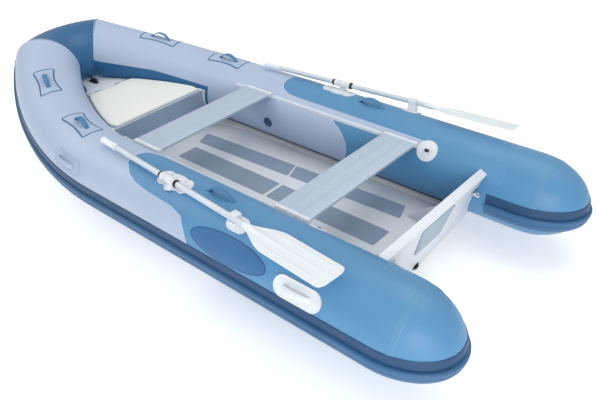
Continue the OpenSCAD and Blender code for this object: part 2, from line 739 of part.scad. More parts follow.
module lid_cushion() color("cornsilk") translate([0, 0, lid_z + lid_t])
  linear_extrude(cushion_t) lid2d(4);
module lid_hinge() color("silver") {
  difference() {
    union() {
      hinge_knuckles(false);
      for (y = [-160, -80, 80, 160]) translate([hinge_x, y - 19.8, deck_z]) cube([30, 39.6, 3]);
    }
    translate([hinge_x, -200, hinge_z]) rotate([-90, 0, 0]) cylinder(r = hinge_pin_r, h = 400);
  }
  translate([hinge_x, -179.8, hinge_z]) rotate([-90, 0, 0]) cylinder(r = hinge_pin_r, h = 359.6);
}

hull_shell();
keel_guard();
floor_deck();
floor_pads();
bow_bulkhead();
bow_deck();
deck_flanges();
bow_cleat();
transom_panel();
transom_cap();
motor_pad_outer();
motor_pad_inner();
transom_knees();
towing_eyes();
drain_socket();
drain_plug();
tube_port();
tube_starboard();
tube_bow();
baffles();
stern_seam_bands();
strake_port();
strake_starboard();
strake_bow();
fender_port();
fender_starboard();
fender_bow();
joint_flap_port();
joint_flap_starboard();
seat_track_port();
seat_track_starboard();
handle_patches();
handle_loops();
lift_handles_stern();
lift_handles_bow();
emblem_patches();
transom_patches();
seat_stop_discs();
oarlock_base_port();
oarlock_base_starboard();
oarlock_swivel_port();
oarlock_swivel_starboard();
oar_shaft_port();
oar_shaft_starboard();
oar_grip_port();
oar_grip_starboard();
oar_blade_port();
oar_blade_starboard();
oar_clips();
valve_bodies();
valve_cap_port();
valve_cap_starboard();
valve_cap_bow();
front_seat();
rear_seat();
seat_slides_front();
seat_slides_rear();
lid_panel();
lid_cushion();
lid_hinge();
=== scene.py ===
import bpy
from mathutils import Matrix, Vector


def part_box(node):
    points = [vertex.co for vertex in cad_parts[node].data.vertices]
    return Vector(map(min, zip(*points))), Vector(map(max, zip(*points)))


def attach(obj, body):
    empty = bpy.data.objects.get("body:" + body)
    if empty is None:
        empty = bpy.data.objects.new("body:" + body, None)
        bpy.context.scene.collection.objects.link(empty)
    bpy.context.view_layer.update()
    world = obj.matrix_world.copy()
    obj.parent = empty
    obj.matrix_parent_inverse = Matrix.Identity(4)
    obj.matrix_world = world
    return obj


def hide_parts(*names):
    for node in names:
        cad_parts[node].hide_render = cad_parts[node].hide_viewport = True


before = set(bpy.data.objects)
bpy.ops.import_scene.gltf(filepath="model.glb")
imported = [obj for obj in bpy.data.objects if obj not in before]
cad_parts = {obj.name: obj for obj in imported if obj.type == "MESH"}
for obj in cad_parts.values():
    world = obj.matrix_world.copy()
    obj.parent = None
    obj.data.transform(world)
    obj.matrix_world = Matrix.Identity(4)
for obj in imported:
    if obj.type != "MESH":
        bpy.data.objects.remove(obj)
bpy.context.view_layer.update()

import math

import bmesh
import bpy
from mathutils import Matrix, Vector, noise

print("frame loaded:", len(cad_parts), "nodes")

hullForm = {
    "bendR": 2.110,  # bend radius of the side tubes
    "bendAngle": 38.9,  # how far a side tube bends, degrees
    "bendTilt": 26.0,  # tilt of the bend's plane, degrees
    "bowBulge": 0.0575,  # bulge of the bow tube ahead of its seams
    "coneLength": 0.302,  # stern cones
    "wrapRun": 0.146,  # how far the rails run along the inboard side
    "sides": (1, -1),  # port, starboard
}
tubeLow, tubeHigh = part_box("tube_port")
tubeR = (tubeHigh.z - tubeLow.z) / 2
tubeY = (tubeHigh.y + tubeLow.y) / 2
tubeZ = (tubeHigh.z + tubeLow.z) / 2
bendX = tubeHigh.x
coneX = tubeLow.x + hullForm["coneLength"]
bendR = hullForm["bendR"]
tilt = math.radians(hullForm["bendTilt"])
bendTurn = math.radians(hullForm["bendAngle"])
bendCentre = Vector((bendX, tubeY - bendR * math.cos(tilt), tubeZ + bendR * math.sin(tilt)))
bendOut = Vector((0, math.cos(tilt), -math.sin(tilt)))
bendUp = Vector((0, math.sin(tilt), math.cos(tilt)))
ahead = Vector((1, 0, 0))
bowHalf = tubeY - bendR * (1 - math.cos(bendTurn)) * math.cos(tilt)
bowZ = tubeZ + bendR * (1 - math.cos(bendTurn)) * math.sin(tilt)
bowR = (bowHalf ** 2 + hullForm["bowBulge"] ** 2) / (2 * hullForm["bowBulge"])
bowTurn = math.asin(bowHalf / bowR)
seamPoint = Vector((bendX + bendR * math.sin(bendTurn), bowHalf, bowZ))
bowCentre = Vector((seamPoint.x + hullForm["bowBulge"] - bowR, 0, bowZ))
bendEndDir = ahead * math.cos(bendTurn) - bendOut * math.sin(bendTurn)
seamNormal = (bendEndDir + Vector((math.sin(bowTurn), -math.cos(bowTurn), 0))).normalized()


def mirrored(v, side):
    return Vector((v.x, v.y * side, v.z))


def onTube(side, along, angle, out):
    # a place on a tube's skin: metres along, degrees round from outboard over the top, metres out
    r = tubeR + out
    if along <= bendX:
        a = math.radians(angle)
        return Vector((along, side * (tubeY + r * math.cos(a)), tubeZ + r * math.sin(a)))
    a = math.radians(angle) + tilt
    swing = (along - bendX) / bendR
    spoke = bendOut * math.cos(swing) + ahead * math.sin(swing)
    return mirrored(bendCentre + spoke * (bendR + r * math.cos(a)) + bendUp * (r * math.sin(a)), side)


def bendRun(degrees):
    return bendX + bendR * math.radians(degrees)


def skinPlace(point, side):  # the other way round: metres along and degrees round of a point near the skin
    p = mirrored(point, side)
    if p.x <= bendX:
        return p.x, math.degrees(math.atan2(p.z - tubeZ, p.y - tubeY))
    d = p - bendCentre
    swing = math.atan2(d.dot(ahead), d.dot(bendOut))
    spoke = bendOut * math.cos(swing) + ahead * math.sin(swing)
    angle = math.atan2(d.dot(bendUp), d.dot(spoke) - bendR) - tilt
    return bendX + bendR * swing, math.degrees(angle)


def smoothStep(t):
    t = max(0.0, min(1.0, t))
    return t * t * (3 - 2 * t)


def finishPiece(name, bm, material, body="boat", nodes=(), sharp=38, normals=True):
    if normals:
        bmesh.ops.recalc_face_normals(bm, faces=bm.faces)
    mesh = bpy.data.meshes.new(name)
    bm.to_mesh(mesh)
    bm.free()
    piece = bpy.data.objects.new(name, mesh)
    bpy.context.scene.collection.objects.link(piece)
    for m in material if isinstance(material, (list, tuple)) else [material]:
        mesh.materials.append(m)
    mesh.shade_smooth()
    mesh.set_sharp_from_angle(angle=math.radians(sharp))
    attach(piece, body)
    if nodes:
        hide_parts(*nodes)
    return piece


def joinInto(bm, part):
    mesh = bpy.data.meshes.new("part")
    part.to_mesh(mesh)
    bm.from_mesh(mesh)
    part.free()
    bpy.data.meshes.remove(mesh)


def cutAt(bm, point, normal, outer):
    geom = list(bm.verts) + list(bm.edges) + list(bm.faces)
    bmesh.ops.bisect_plane(bm, geom=geom, plane_co=point, plane_no=normal,
                           clear_outer=outer, clear_inner=not outer)


def bevelEdges(bm, width, segments=2, angle=30):
    sharp = [e for e in bm.edges if e.is_manifold and e.calc_face_angle(0) > math.radians(angle)]
    bmesh.ops.bevel(bm, geom=sharp, offset=width, offset_type="OFFSET", affect="EDGES",
                    segments=segments, profile=0.5, material=-1, clamp_overlap=True)


def facesOf(result):
    return [g for g in result["geom"] if isinstance(g, bmesh.types.BMFace)]


def vertsOf(result):
    return [g for g in result["geom"] if isinstance(g, bmesh.types.BMVert)]


def sweepProfile(bm, profile, stations, place, marked=()):
    # a closed section carried along its stations, by extruding the end face again and again
    verts = [bm.verts.new(place(stations[0], p)) for p in profile]
    face = bm.faces.new(verts)
    first = face
    for station in stations[1:]:
        spots = {tuple(v.co): i for i, v in enumerate(verts)}
        before = set(bm.faces)
        out = bmesh.ops.extrude_face_region(bm, geom=[face])
        fresh = facesOf(out)[0]
        if station in marked:
            for wall in set(bm.faces) - before - {fresh}:
                wall.material_index = 1
        ordered = [None] * len(profile)
        for v in vertsOf(out):
            ordered[spots[tuple(v.co)]] = v
        if face is not first and face.is_valid:
            bmesh.ops.delete(bm, geom=[face], context="FACES_ONLY")
        for v, p in zip(ordered, profile):
            v.co = place(station, p)
        verts, face = ordered, fresh


def spinProfile(bm, points, centre, axis, steps=48, turn=2 * math.pi):
    # a profile of vertices turned about an axis
    verts = [bm.verts.new(p) for p in points]
    edges = [bm.edges.new(pair) for pair in zip(verts, verts[1:])]
    bmesh.ops.spin(bm, geom=verts + edges, cent=centre, axis=axis, angle=turn, steps=steps,
                   use_merge=abs(turn - 2 * math.pi) < 1e-6, use_duplicate=False)
    bmesh.ops.remove_doubles(bm, verts=bm.verts, dist=1e-6)


def closeHoles(bm):
    rims = [e for e in bm.edges if e.is_boundary]
    if rims:
        bmesh.ops.holes_fill(bm, edges=rims, sides=0)


def flatGrid(bm, nx, ny):
    return bmesh.ops.create_grid(bm, x_segments=nx, y_segments=ny, size=0.5)["verts"]


def stadiumRing(bm, length, width, z=0.0, segments=40):  # a flat stadium as one face
    verts = bmesh.ops.create_circle(bm, cap_ends=True, segments=segments, radius=width / 2)["verts"]
    shift = (length - width) / 2
    for v in verts:
        v.co.x += shift if v.co.x > 1e-6 else -shift if v.co.x < -1e-6 else 0
        v.co.z = z
    return [f for f in bm.faces if all(v in set(verts) for v in f.verts)][0]


def extrudeUp(bm, face, lift):
    out = bmesh.ops.extrude_face_region(bm, geom=[face])
    fresh = facesOf(out)[0]
    bmesh.ops.translate(bm, verts=fresh.verts, vec=(0, 0, lift))
    return fresh


def copyOfNode(node, width=0.0008, segments=2, angle=30, flat=0.5):
    # a welded copy of a CAD node, its flat faces joined again and its edges softened
    bm = bmesh.new()
    bm.from_mesh(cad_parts[node].data)
    bmesh.ops.remove_doubles(bm, verts=bm.verts, dist=1e-5)
    bmesh.ops.dissolve_limit(bm, angle_limit=math.radians(flat), verts=bm.verts, edges=bm.edges)
    if width:
        bevelEdges(bm, width, segments, angle)
    return bm


def softCopy(name, node, material, body="boat", width=0.0008, segments=2, angle=30):
    bm = copyOfNode(node, width, segments, angle)
    return finishPiece(name, bm, material, body, (node,), normals=False)


def tone(red, green, blue):  # a swatch in the usual 0 to 255 numbers
    def lin(v):
        v /= 255
        return v / 12.92 if v <= 0.04045 else ((v + 0.055) / 1.055) ** 2.4
    return (lin(red), lin(green), lin(blue), 1.0)


def put(tree, kind, inputs=None, **settings):
    made = tree.nodes.new(kind)
    for key, value in settings.items():
        setattr(made, key, value)
    for key, value in (inputs or {}).items():
        if isinstance(value, bpy.types.NodeSocket):
            tree.links.new(value, made.inputs[key])
        else:
            made.inputs[key].default_value = value
    return made


def calc(tree, operation, a, b=0.0, c=None, clamp=False):
    inputs = {0: a, 1: b}
    if c is not None:
        inputs[2] = c
    return put(tree, "ShaderNodeMath", inputs, operation=operation, use_clamp=clamp).outputs[0]


def mixColour(tree, factor, a, b):
    made = tree.nodes.new("ShaderNodeMix")
    made.data_type = "RGBA"
    for socket, value in ((made.inputs[0], factor), (made.inputs[6], a), (made.inputs[7], b)):
        if isinstance(value, bpy.types.NodeSocket):
            tree.links.new(value, socket)
        else:
            socket.default_value = value
    return made.outputs[2]


def softEdge(tree, value, width):  # 0 below zero, 1 above width
    return calc(tree, "MULTIPLY", value, 1 / width, clamp=True)


def newGroup(name, inputs, outputs):
    group = bpy.data.node_groups.new(name, "ShaderNodeTree")
    for label, kind, value in inputs:
        socket = group.interface.new_socket(name=label, in_out="INPUT", socket_type=kind)
        if value is not None:
            socket.default_value = value
    for label, kind in outputs:
        group.interface.new_socket(name=label, in_out="OUTPUT", socket_type=kind)
    return group, group.nodes.new("NodeGroupInput"), group.nodes.new("NodeGroupOutput")


def makeMottle():  # broad colour variation and a rougher, finer grain
    group, inn, out = newGroup("mottle", [
        ("Vector", "NodeSocketVector", None), ("Scale", "NodeSocketFloat", 6.0),
        ("Amount", "NodeSocketFloat", 0.1), ("Colour", "NodeSocketColor", (0.5, 0.5, 0.5, 1)),
        ("Shade", "NodeSocketColor", (0.3, 0.3, 0.3, 1)), ("Roughness", "NodeSocketFloat", 0.4)],
        [("Colour", "NodeSocketColor"), ("Roughness", "NodeSocketFloat")])
    cloud = put(group, "ShaderNodeTexNoise", {"Vector": inn.outputs["Vector"],
                "Scale": inn.outputs["Scale"], "Detail": 4.0, "Roughness": 0.6}).outputs[0]
    even = calc(group, "MULTIPLY_ADD", cloud, 2.2, -0.6, clamp=True)
    share = calc(group, "MULTIPLY", even, inn.outputs["Amount"])
    colour = mixColour(group, share, inn.outputs["Colour"], inn.outputs["Shade"])
    rough = calc(group, "ADD", inn.outputs["Roughness"], calc(group, "MULTIPLY", even, 0.08))
    group.links.new(colour, out.inputs["Colour"])
    group.links.new(rough, out.inputs["Roughness"])
    return group


def makeWeave():  # crossed threads, as a height
    group, inn, out = newGroup("weave", [
        ("Vector", "NodeSocketVector", None), ("Threads", "NodeSocketFloat", 300.0)],
        [("Height", "NodeSocketFloat")])
    parts = []
    for direction in ("X", "Y"):
        wave = put(group, "ShaderNodeTexWave", {"Vector": inn.outputs["Vector"],
                   "Scale": inn.outputs["Threads"], "Distortion": 0.6, "Detail": 1.0},
                   wave_type="BANDS", bands_direction=direction)
        parts.append(wave.outputs[1])
    group.links.new(calc(group, "MULTIPLY", parts[0], parts[1]), out.inputs["Height"])
    return group


def makeBrushed():  # fine lines along one direction, as a value and a height
    group, inn, out = newGroup("brushed", [
        ("Vector", "NodeSocketVector", None), ("Stretch", "NodeSocketVector", (400.0, 6.0, 400.0)),
        ("Roughness", "NodeSocketFloat", 0.35)],
        [("Roughness", "NodeSocketFloat"), ("Height", "NodeSocketFloat")])
    lay = put(group, "ShaderNodeMapping", {"Vector": inn.outputs["Vector"],
              "Scale": inn.outputs["Stretch"]}).outputs[0]
    lines = put(group, "ShaderNodeTexNoise", {"Vector": lay, "Scale": 1.0, "Detail": 3.0}).outputs[0]
    rough = calc(group, "MULTIPLY_ADD", lines, 0.2, inn.outputs["Roughness"])
    group.links.new(rough, out.inputs["Roughness"])
    group.links.new(lines, out.inputs["Height"])
    return group


def makeDust():  # a film that gathers low down and in cloudy patches, as a share from 0 to 1
    group, inn, out = newGroup("dust", [
        ("Vector", "NodeSocketVector", None), ("Top", "NodeSocketFloat", 0.3),
        ("Depth", "NodeSocketFloat", 0.25), ("Amount", "NodeSocketFloat", 0.2)],
        [("Share", "NodeSocketFloat")])
    height = put(group, "ShaderNodeSeparateXYZ", {0: inn.outputs["Vector"]}).outputs[2]
    low = calc(group, "DIVIDE", calc(group, "SUBTRACT", inn.outputs["Top"], height),
               inn.outputs["Depth"], clamp=True)
    cloud = put(group, "ShaderNodeTexNoise", {"Vector": inn.outputs["Vector"], "Scale": 9.0,
                "Detail": 5.0}).outputs[0]
    patchy = calc(group, "MULTIPLY", low, calc(group, "MULTIPLY_ADD", cloud, 2.0, -0.5, clamp=True))
    group.links.new(calc(group, "MULTIPLY", patchy, inn.outputs["Amount"]), out.inputs["Share"])
    return group


groups = {"mottle": makeMottle(), "weave": makeWeave(), "brushed": makeBrushed(), "dust": makeDust()}


def useGroup(tree, name, inputs):
    made = tree.nodes.new("ShaderNodeGroup")
    made.node_tree = groups[name]
    for key, value in inputs.items():
        if isinstance(value, bpy.types.NodeSocket):
            tree.links.new(value, made.inputs[key])
        else:
            made.inputs[key].default_value = value
    return made.outputs


def newMaterial(name, metallic=0.0, coat=0.0):
    material = bpy.data.materials.new(name)
    material.use_nodes = True
    tree = material.node_tree
    shader = tree.nodes["Principled BSDF"]
    shader.inputs["Metallic"].default_value = metallic
    shader.inputs["Coat Weight"].default_value = coat
    shader.inputs["Coat Roughness"].default_value = 0.25
    shader.inputs["IOR"].default_value = 1.45
    place = put(tree, "ShaderNodeTexCoord").outputs["Object"]
    return material, tree, shader, place


def addBump(tree, shader, height, distance, strength=1.0):
    bump = put(tree, "ShaderNodeBump", {"Height": height, "Distance": distance, "Strength": strength})
    tree.links.new(bump.outputs[0], shader.inputs["Normal"])


def plainFinish(name, colour, shade, roughness=0.4, scale=8.0, amount=0.25, bump=0.00015,
                bumpScale=220.0, metallic=0.0, coat=0.0, dust=0.0):
    # moulded or painted stuff: cloudy colour, fine grain and a little dust low down
    material, tree, shader, place = newMaterial(name, metallic, coat)
    base = useGroup(tree, "mottle", {"Vector": place, "Scale": scale, "Amount": amount,
                    "Colour": colour, "Shade": shade, "Roughness": roughness})
    film = useGroup(tree, "dust", {"Vector": place, "Amount": dust})["Share"]
    tree.links.new(mixColour(tree, film, base["Colour"], tone(150, 145, 135)), shader.inputs["Base Color"])
    tree.links.new(base["Roughness"], shader.inputs["Roughness"])
    grain = put(tree, "ShaderNodeTexNoise", {"Vector": place, "Scale": bumpScale, "Detail": 3.0})
    addBump(tree, shader, grain.outputs[0], bump)
    return material


def brushedFinish(name, colour, shade, stretch, roughness=0.3, metallic=1.0, coat=0.0):
    material, tree, shader, place = newMaterial(name, metallic, coat)
    lines = useGroup(tree, "brushed", {"Vector": place, "Stretch": stretch, "Roughness": roughness})
    base = useGroup(tree, "mottle", {"Vector": place, "Scale": 3.0, "Amount": 0.35,
                    "Colour": colour, "Shade": shade, "Roughness": roughness})
    tree.links.new(base["Colour"], shader.inputs["Base Color"])
    tree.links.new(lines["Roughness"], shader.inputs["Roughness"])
    addBump(tree, shader, lines["Height"], 0.00008)
    return material


tubeColours = {
    "lilac": tone(172, 187, 211),
    "lilacShade": tone(160, 176, 202),
    "blue": tone(84, 140, 182),
    "blueShade": tone(70, 126, 170),
    "bow": tone(40, 98, 142),
    "bowShade": tone(33, 88, 132),
    "flap": tone(40, 96, 142),
    "outline": 0.0035,  # half width of the pale line where the two blues meet, metres
    "outlineTone": tone(196, 208, 226),
    # where blue gives way to lilac: degrees round, metres along from amidships
    "edge": [(-150, -0.525), (12, -0.525), (27, -0.49), (41, -0.447), (47, -0.36), (49, -0.172),
             (53, -0.06), (60, 0.01), (74, 0.078), (90, 0.092), (108, 0.085), (118, 0.055),
             (124, 0.0), (125.6, -0.06), (126.6, -1.03), (138.6, -1.03), (139.6, -0.39),
             (147, -0.424), (151, -0.455), (159, -0.493), (170, -0.524), (183, -0.534), (210, -0.5)],
    "curveLow": -150.0,  # first angle on the curve
    "curveSpan": 360.0,
    "alongLow": -2.0,
    "alongSpan": 4.0,
}


def tubeFinish(name, bow=False):
    # coated fabric: two colours meeting on a curved seam, weave under the coating, soft sheen
    c = tubeColours
    material, tree, shader, place = newMaterial(name, coat=0.12)
    skin = put(tree, "ShaderNodeUVMap", uv_map="skin").outputs[0]
    split = put(tree, "ShaderNodeSeparateXYZ", {0: skin})
    along, angle = split.outputs[0], split.outputs[1]
    if bow:
        base = useGroup(tree, "mottle", {"Vector": place, "Scale": 2.5, "Amount": 0.5,
                        "Colour": c["bow"], "Shade": c["bowShade"], "Roughness": 0.40})
        colour, rough = base["Colour"], base["Roughness"]
        lip = 0.0
    else:
        turned = calc(tree, "SUBTRACT", angle, c["curveLow"] / 100)
        turned = calc(tree, "DIVIDE", turned, c["curveSpan"] / 100)
        curve = put(tree, "ShaderNodeFloatCurve", {"Value": turned})
        points = curve.mapping.curves[0].points
        spots = [((a - c["curveLow"]) / c["curveSpan"], (x - c["alongLow"]) / c["alongSpan"])
                 for a, x in c["edge"]]
        points[0].location, points[1].location = spots[0], spots[-1]
        for spot in spots[1:-1]:
            points.new(*spot)
        for p in points:
            p.handle_type = "VECTOR"
        curve.mapping.update()
        limit = calc(tree, "MULTIPLY_ADD", curve.outputs[0], c["alongSpan"], c["alongLow"])
        behind = calc(tree, "SUBTRACT", limit, along)
        blueShare = softEdge(tree, behind, 0.0015)
        lilac = useGroup(tree, "mottle", {"Vector": place, "Scale": 2.5, "Amount": 0.5,
                         "Colour": c["lilac"], "Shade": c["lilacShade"], "Roughness": 0.40})
        blue = useGroup(tree, "mottle", {"Vector": place, "Scale": 2.5, "Amount": 0.5,
                        "Colour": c["blue"], "Shade": c["blueShade"], "Roughness": 0.38})
        colour = mixColour(tree, blueShare, lilac["Colour"], blue["Colour"])
        apart = calc(tree, "ABSOLUTE", behind)
        outline = softEdge(tree, calc(tree, "SUBTRACT", c["outline"], apart), 0.0015)
        colour = mixColour(tree, calc(tree, "MULTIPLY", outline, 0.6), colour, c["outlineTone"])
        # the dark tape where the bow deck meets the tube
        start = softEdge(tree, calc(tree, "SUBTRACT", along, bendRun(10.5)), 0.002)
        lift = calc(tree, "MULTIPLY", softEdge(tree, calc(tree, "SUBTRACT", along, bendRun(24)), 0.45), 0.12)
        top = calc(tree, "SUBTRACT", angle, calc(tree, "ADD", lift, 1.58))
        flapShare = calc(tree, "MULTIPLY", start, softEdge(tree, top, 0.008))
        colour = mixColour(tree, flapShare, colour, c["flap"])
        rough = lilac["Roughness"]
        lip = calc(tree, "ADD", softEdge(tree, behind, 0.004), flapShare)
    film = useGroup(tree, "dust", {"Vector": place, "Amount": 0.16})["Share"]
    tree.links.new(mixColour(tree, film, colour, tone(140, 140, 135)), shader.inputs["Base Color"])
    tree.links.new(rough, shader.inputs["Roughness"])
    scaled = put(tree, "ShaderNodeMapping", {"Vector": skin, "Scale": (1.0, tubeR * 1.745, 1.0)}).outputs[0]
    weave = useGroup(tree, "weave", {"Vector": scaled, "Threads": 260.0})["Height"]
    ripple = put(tree, "ShaderNodeTexNoise", {"Vector": place, "Scale": 5.0, "Detail": 2.0}).outputs[0]
    waves = calc(tree, "ADD", lip, calc(tree, "MULTIPLY", ripple, 1.6))
    height = calc(tree, "ADD", calc(tree, "MULTIPLY", weave, 0.06), waves)
    addBump(tree, shader, height, 0.0006)
    return material


plainFinishes = {
    # name, colour, shade, roughness, size of the clouds, their share, anything else
    "navy": ("navyRubber", (52, 100, 142), (40, 84, 124), 0.42, 4.0, 0.5, {"dust": 0.1}),
    "strake": ("strakeRubber", (30, 72, 112), (24, 62, 98), 0.4, 4.0, 0.5, {"dust": 0.1}),
    "seamBand": ("seamTape", (88, 142, 180), (74, 128, 168), 0.42, 4.0, 0.4, {}),
    "patch": ("patchFabric", (168, 184, 208), (156, 172, 198), 0.5, 6.0, 0.4,
              {"bump": 0.0002, "bumpScale": 500}),
    "patchBlue": ("patchFabricBlue", (86, 142, 184), (74, 128, 170), 0.46, 6.0, 0.4,
                  {"bump": 0.0002, "bumpScale": 500}),
    "patchLine": ("patchPiping", (56, 104, 142), (44, 90, 128), 0.45, 6.0, 0.3, {}),
    "emblem": ("emblemPatch", (58, 108, 156), (48, 96, 144), 0.36, 5.0, 0.4, {}),
    "emblemLine": ("emblemBorder", (40, 88, 138), (34, 78, 126), 0.36, 5.0, 0.3, {}),
    # joint tape: real navy tape, its colour darkened further as painted shade for the gap between floor and
    # tube
    "gapShadeNavyTape": ("jointTapeWithGapShade", (14, 52, 88), (10, 42, 74), 0.45, 4.0, 0.5, {}),
    "white": ("whiteMoulding", (216, 222, 227), (204, 211, 218), 0.36, 10.0, 0.3, {"coat": 0.1}),
    "whitePaint": ("whitePowderCoat", (220, 226, 232), (206, 214, 222), 0.38, 5.0, 0.35,
                   {"dust": 0.12, "bump": 0.00012, "bumpScale": 320}),
    "hullPaint": ("hullPowderCoat", (226, 231, 236), (205, 213, 221), 0.4, 4.0, 0.5,
                  {"dust": 0.5, "bump": 0.00012, "bumpScale": 320}),
    "grip": ("oarGrip", (226, 234, 242), (206, 218, 230), 0.5, 14.0, 0.3, {"bump": 0.0002, "bumpScale": 300}),
    "blade": ("oarBlade", (222, 229, 233), (210, 219, 225), 0.34, 6.0, 0.3, {"coat": 0.2}),
    "pad": ("antiSlipPad", (140, 154, 174), (124, 140, 162), 0.6, 12.0, 0.4,
            {"bump": 0.0004, "bumpScale": 700}),
    "motorPad": ("motorPad", (168, 184, 194), (150, 168, 180), 0.5, 9.0, 0.4,
                 {"bump": 0.0003, "bumpScale": 400}),
    "black": ("blackMoulding", (20, 22, 26), (34, 36, 40), 0.4, 12.0, 0.4, {}),
    "valve": ("valveMoulding", (62, 84, 122), (44, 64, 100), 0.42, 12.0, 0.4, {}),
    "web": ("webbing", (72, 126, 168), (56, 106, 148), 0.6, 30.0, 0.4, {"bump": 0.0005, "bumpScale": 900}),
    "vinyl": ("cushionVinyl", (229, 231, 226), (218, 221, 218), 0.44, 5.0, 0.5,
              {"bump": 0.0003, "bumpScale": 260}),
    "track": ("seatTrack", (206, 214, 226), (190, 200, 214), 0.4, 10.0, 0.3, {}),
}
brushedFinishes = {
    # name, colour, shade, stretch of the lines, roughness, metallic, coat
    "greyMetal": ("lockerSheet", (168, 186, 204), (140, 160, 182), (4.0, 200.0, 200.0), 0.36, 0.35, 0.0),
    "seat": ("seatExtrusion", (184, 198, 213), (168, 184, 200), (500.0, 5.0, 500.0), 0.42, 0.35, 0.0),
    "steel": ("stainless", (196, 200, 204), (160, 166, 172), (60.0, 60.0, 500.0), 0.25, 1.0, 0.0),
    "keel": ("keelAlloy", (186, 190, 194), (150, 154, 160), (6.0, 300.0, 300.0), 0.4, 1.0, 0.0),
    "shaft": ("oarShaft", (204, 213, 222), (186, 197, 208), (4.0, 300.0, 300.0), 0.3, 0.2, 0.3),
}
materials = {"tube": tubeFinish("coatedFabric"), "bow": tubeFinish("coatedFabricBow", bow=True)}
for key, (name, colour, shade, rough, scale, amount, extra) in plainFinishes.items():
    materials[key] = plainFinish(name, tone(*colour), tone(*shade), rough, scale, amount, **extra)
for key, (name, colour, shade, *settings) in brushedFinishes.items():
    materials[key] = brushedFinish(name, tone(*colour), tone(*shade), *settings)
print("materials made:", len(materials))

tubeForm = {"around": 96, "coneSteps": 22, "straightSteps": 40, "bendSteps": 44, "bowSteps": 40,
            "bendExtra": 3, "bowExtra": 25,  # degrees past the seams, cut off again
            "overlap": 0.004, "pucker": 0.0011, "gathers": 14, "gatherR": 0.055, "gatherReach": 0.05}


def writeSkinUv(bm):
    layer = bm.loops.layers.uv.new("skin")
    for face in bm.faces:
        mid = face.calc_center_median()
        side = 1 if mid.y >= 0 else -1
        centreAngle = skinPlace(mid, side)[1]
        if centreAngle < -150:
            centreAngle += 360
        for loop in face.loops:
            along, angle = skinPlace(loop.vert.co, side)
            angle += 360 * round((centreAngle - angle) / 360)
            loop[layer].uv = (along, angle / 100)


def sternTube(name, node, side):
    f = tubeForm
    bm = bmesh.new()
    length = hullForm["coneLength"]
    centre = Vector((0, side * tubeY, tubeZ))
    points = []
    for i in range(f["coneSteps"] + 1):
        a = math.pi / 2 * i / f["coneSteps"]
        points.append(centre + Vector((coneX - length * math.cos(a), 0, tubeR * math.sin(a))))
    for i in range(1, f["straightSteps"] + 1):
        points.append(centre + Vector((coneX + (bendX - coneX) * i / f["straightSteps"], 0, tubeR)))
    spinProfile(bm, points, centre, ahead, f["around"])
    for v in bm.verts:  # small gathers where the cone's panels meet at the tip
        spoke = Vector((0, v.co.y - centre.y, v.co.z - centre.z))
        near = smoothStep(1 - abs(spoke.length - f["gatherR"]) / f["gatherReach"])
        turn = math.atan2(spoke.z, spoke.y)
        if v.co.x < coneX and near > 0:
            v.co.x += f["pucker"] * near * math.sin(turn * f["gathers"])
    closeHoles(bm)
    writeSkinUv(bm)
    return finishPiece(name, bm, materials["tube"], "boat", (node,), 50)


def sweptTube(bm, side):
    f = tubeForm
    verts = [bm.verts.new(onTube(1, bendX, 360 * i / f["around"], 0)) for i in range(f["around"])]
    edges = [bm.edges.new((a, b)) for a, b in zip(verts, verts[1:] + verts[:1])]
    bmesh.ops.spin(bm, geom=verts + edges, cent=bendCentre, axis=-bendUp,
                   angle=bendTurn + math.radians(f["bendExtra"]), steps=f["bendSteps"], use_duplicate=False)
    cutAt(bm, seamPoint + seamNormal * f["overlap"], seamNormal, True)
    if side < 0:
        for v in bm.verts:
            v.co.y *= -1


def bowTubes():
    f = tubeForm
    bm = bmesh.new()
    for side in hullForm["sides"]:
        part = bmesh.new()
        sweptTube(part, side)
        closeHoles(part)
        joinInto(bm, part)
    part = bmesh.new()
    reach = bowTurn + math.radians(f["bowExtra"])
    spoke = Vector((math.cos(reach), -math.sin(reach), 0))
    verts = bmesh.ops.create_circle(part, segments=f["around"], radius=tubeR)["verts"]
    turn = Matrix((spoke, Vector((0, 0, 1)), spoke.cross(Vector((0, 0, 1))))).transposed().to_4x4()
    bmesh.ops.transform(part, verts=verts, matrix=Matrix.Translation(bowCentre + spoke * bowR) @ turn)
    bmesh.ops.spin(part, geom=list(part.verts) + list(part.edges), cent=bowCentre, axis=(0, 0, 1),
                   angle=2 * reach, steps=f["bowSteps"], use_duplicate=False)
    for side in hullForm["sides"]:
        normal = mirrored(seamNormal, side)
        cutAt(part, mirrored(seamPoint, side) - normal * f["overlap"], normal, False)
    closeHoles(part)
    for face in part.faces:
        face.material_index = 1
    joinInto(bm, part)
    writeSkinUv(bm)
    return finishPiece("tubeBow", bm, [materials["tube"], materials["bow"]], "boat", ("tube_bow",),
                       50)


sternTube("tubePort", "tube_port", 1)
sternTube("tubeStarboard", "tube_starboard", -1)
bowTubes()
print("tubes made")

railForm = {
    # height from the tube's centre line and distance out, metres
    "strake": [(0.0380, 0.0003), (0.0380, 0.0024), (0.0366, 0.0036), (0.034, 0.004), (0.010, 0.004),
               (0.0085, 0.0028), (0.0055, 0.0028), (0.004, 0.004), (-0.010, 0.004), (-0.0130, 0.0034),
               (-0.0137, 0.0022), (-0.0137, 0.0003)],
    "fender": [(-0.014, 0.0003), (-0.0142, 0.010), (-0.0160, 0.0155), (-0.0200, 0.0188),
               (-0.0260, 0.0200), (-0.0420, 0.0200), (-0.0445, 0.0178), (-0.0485, 0.0178),
               (-0.0510, 0.0200), (-0.0640, 0.0198), (-0.0760, 0.0180), (-0.0870, 0.0130),
               (-0.0945, 0.0060), (-0.0980, 0.0003)],
    "coneSteps": 40, "straightSteps": 20, "bendSteps": 40, "bowSteps": 40,
}


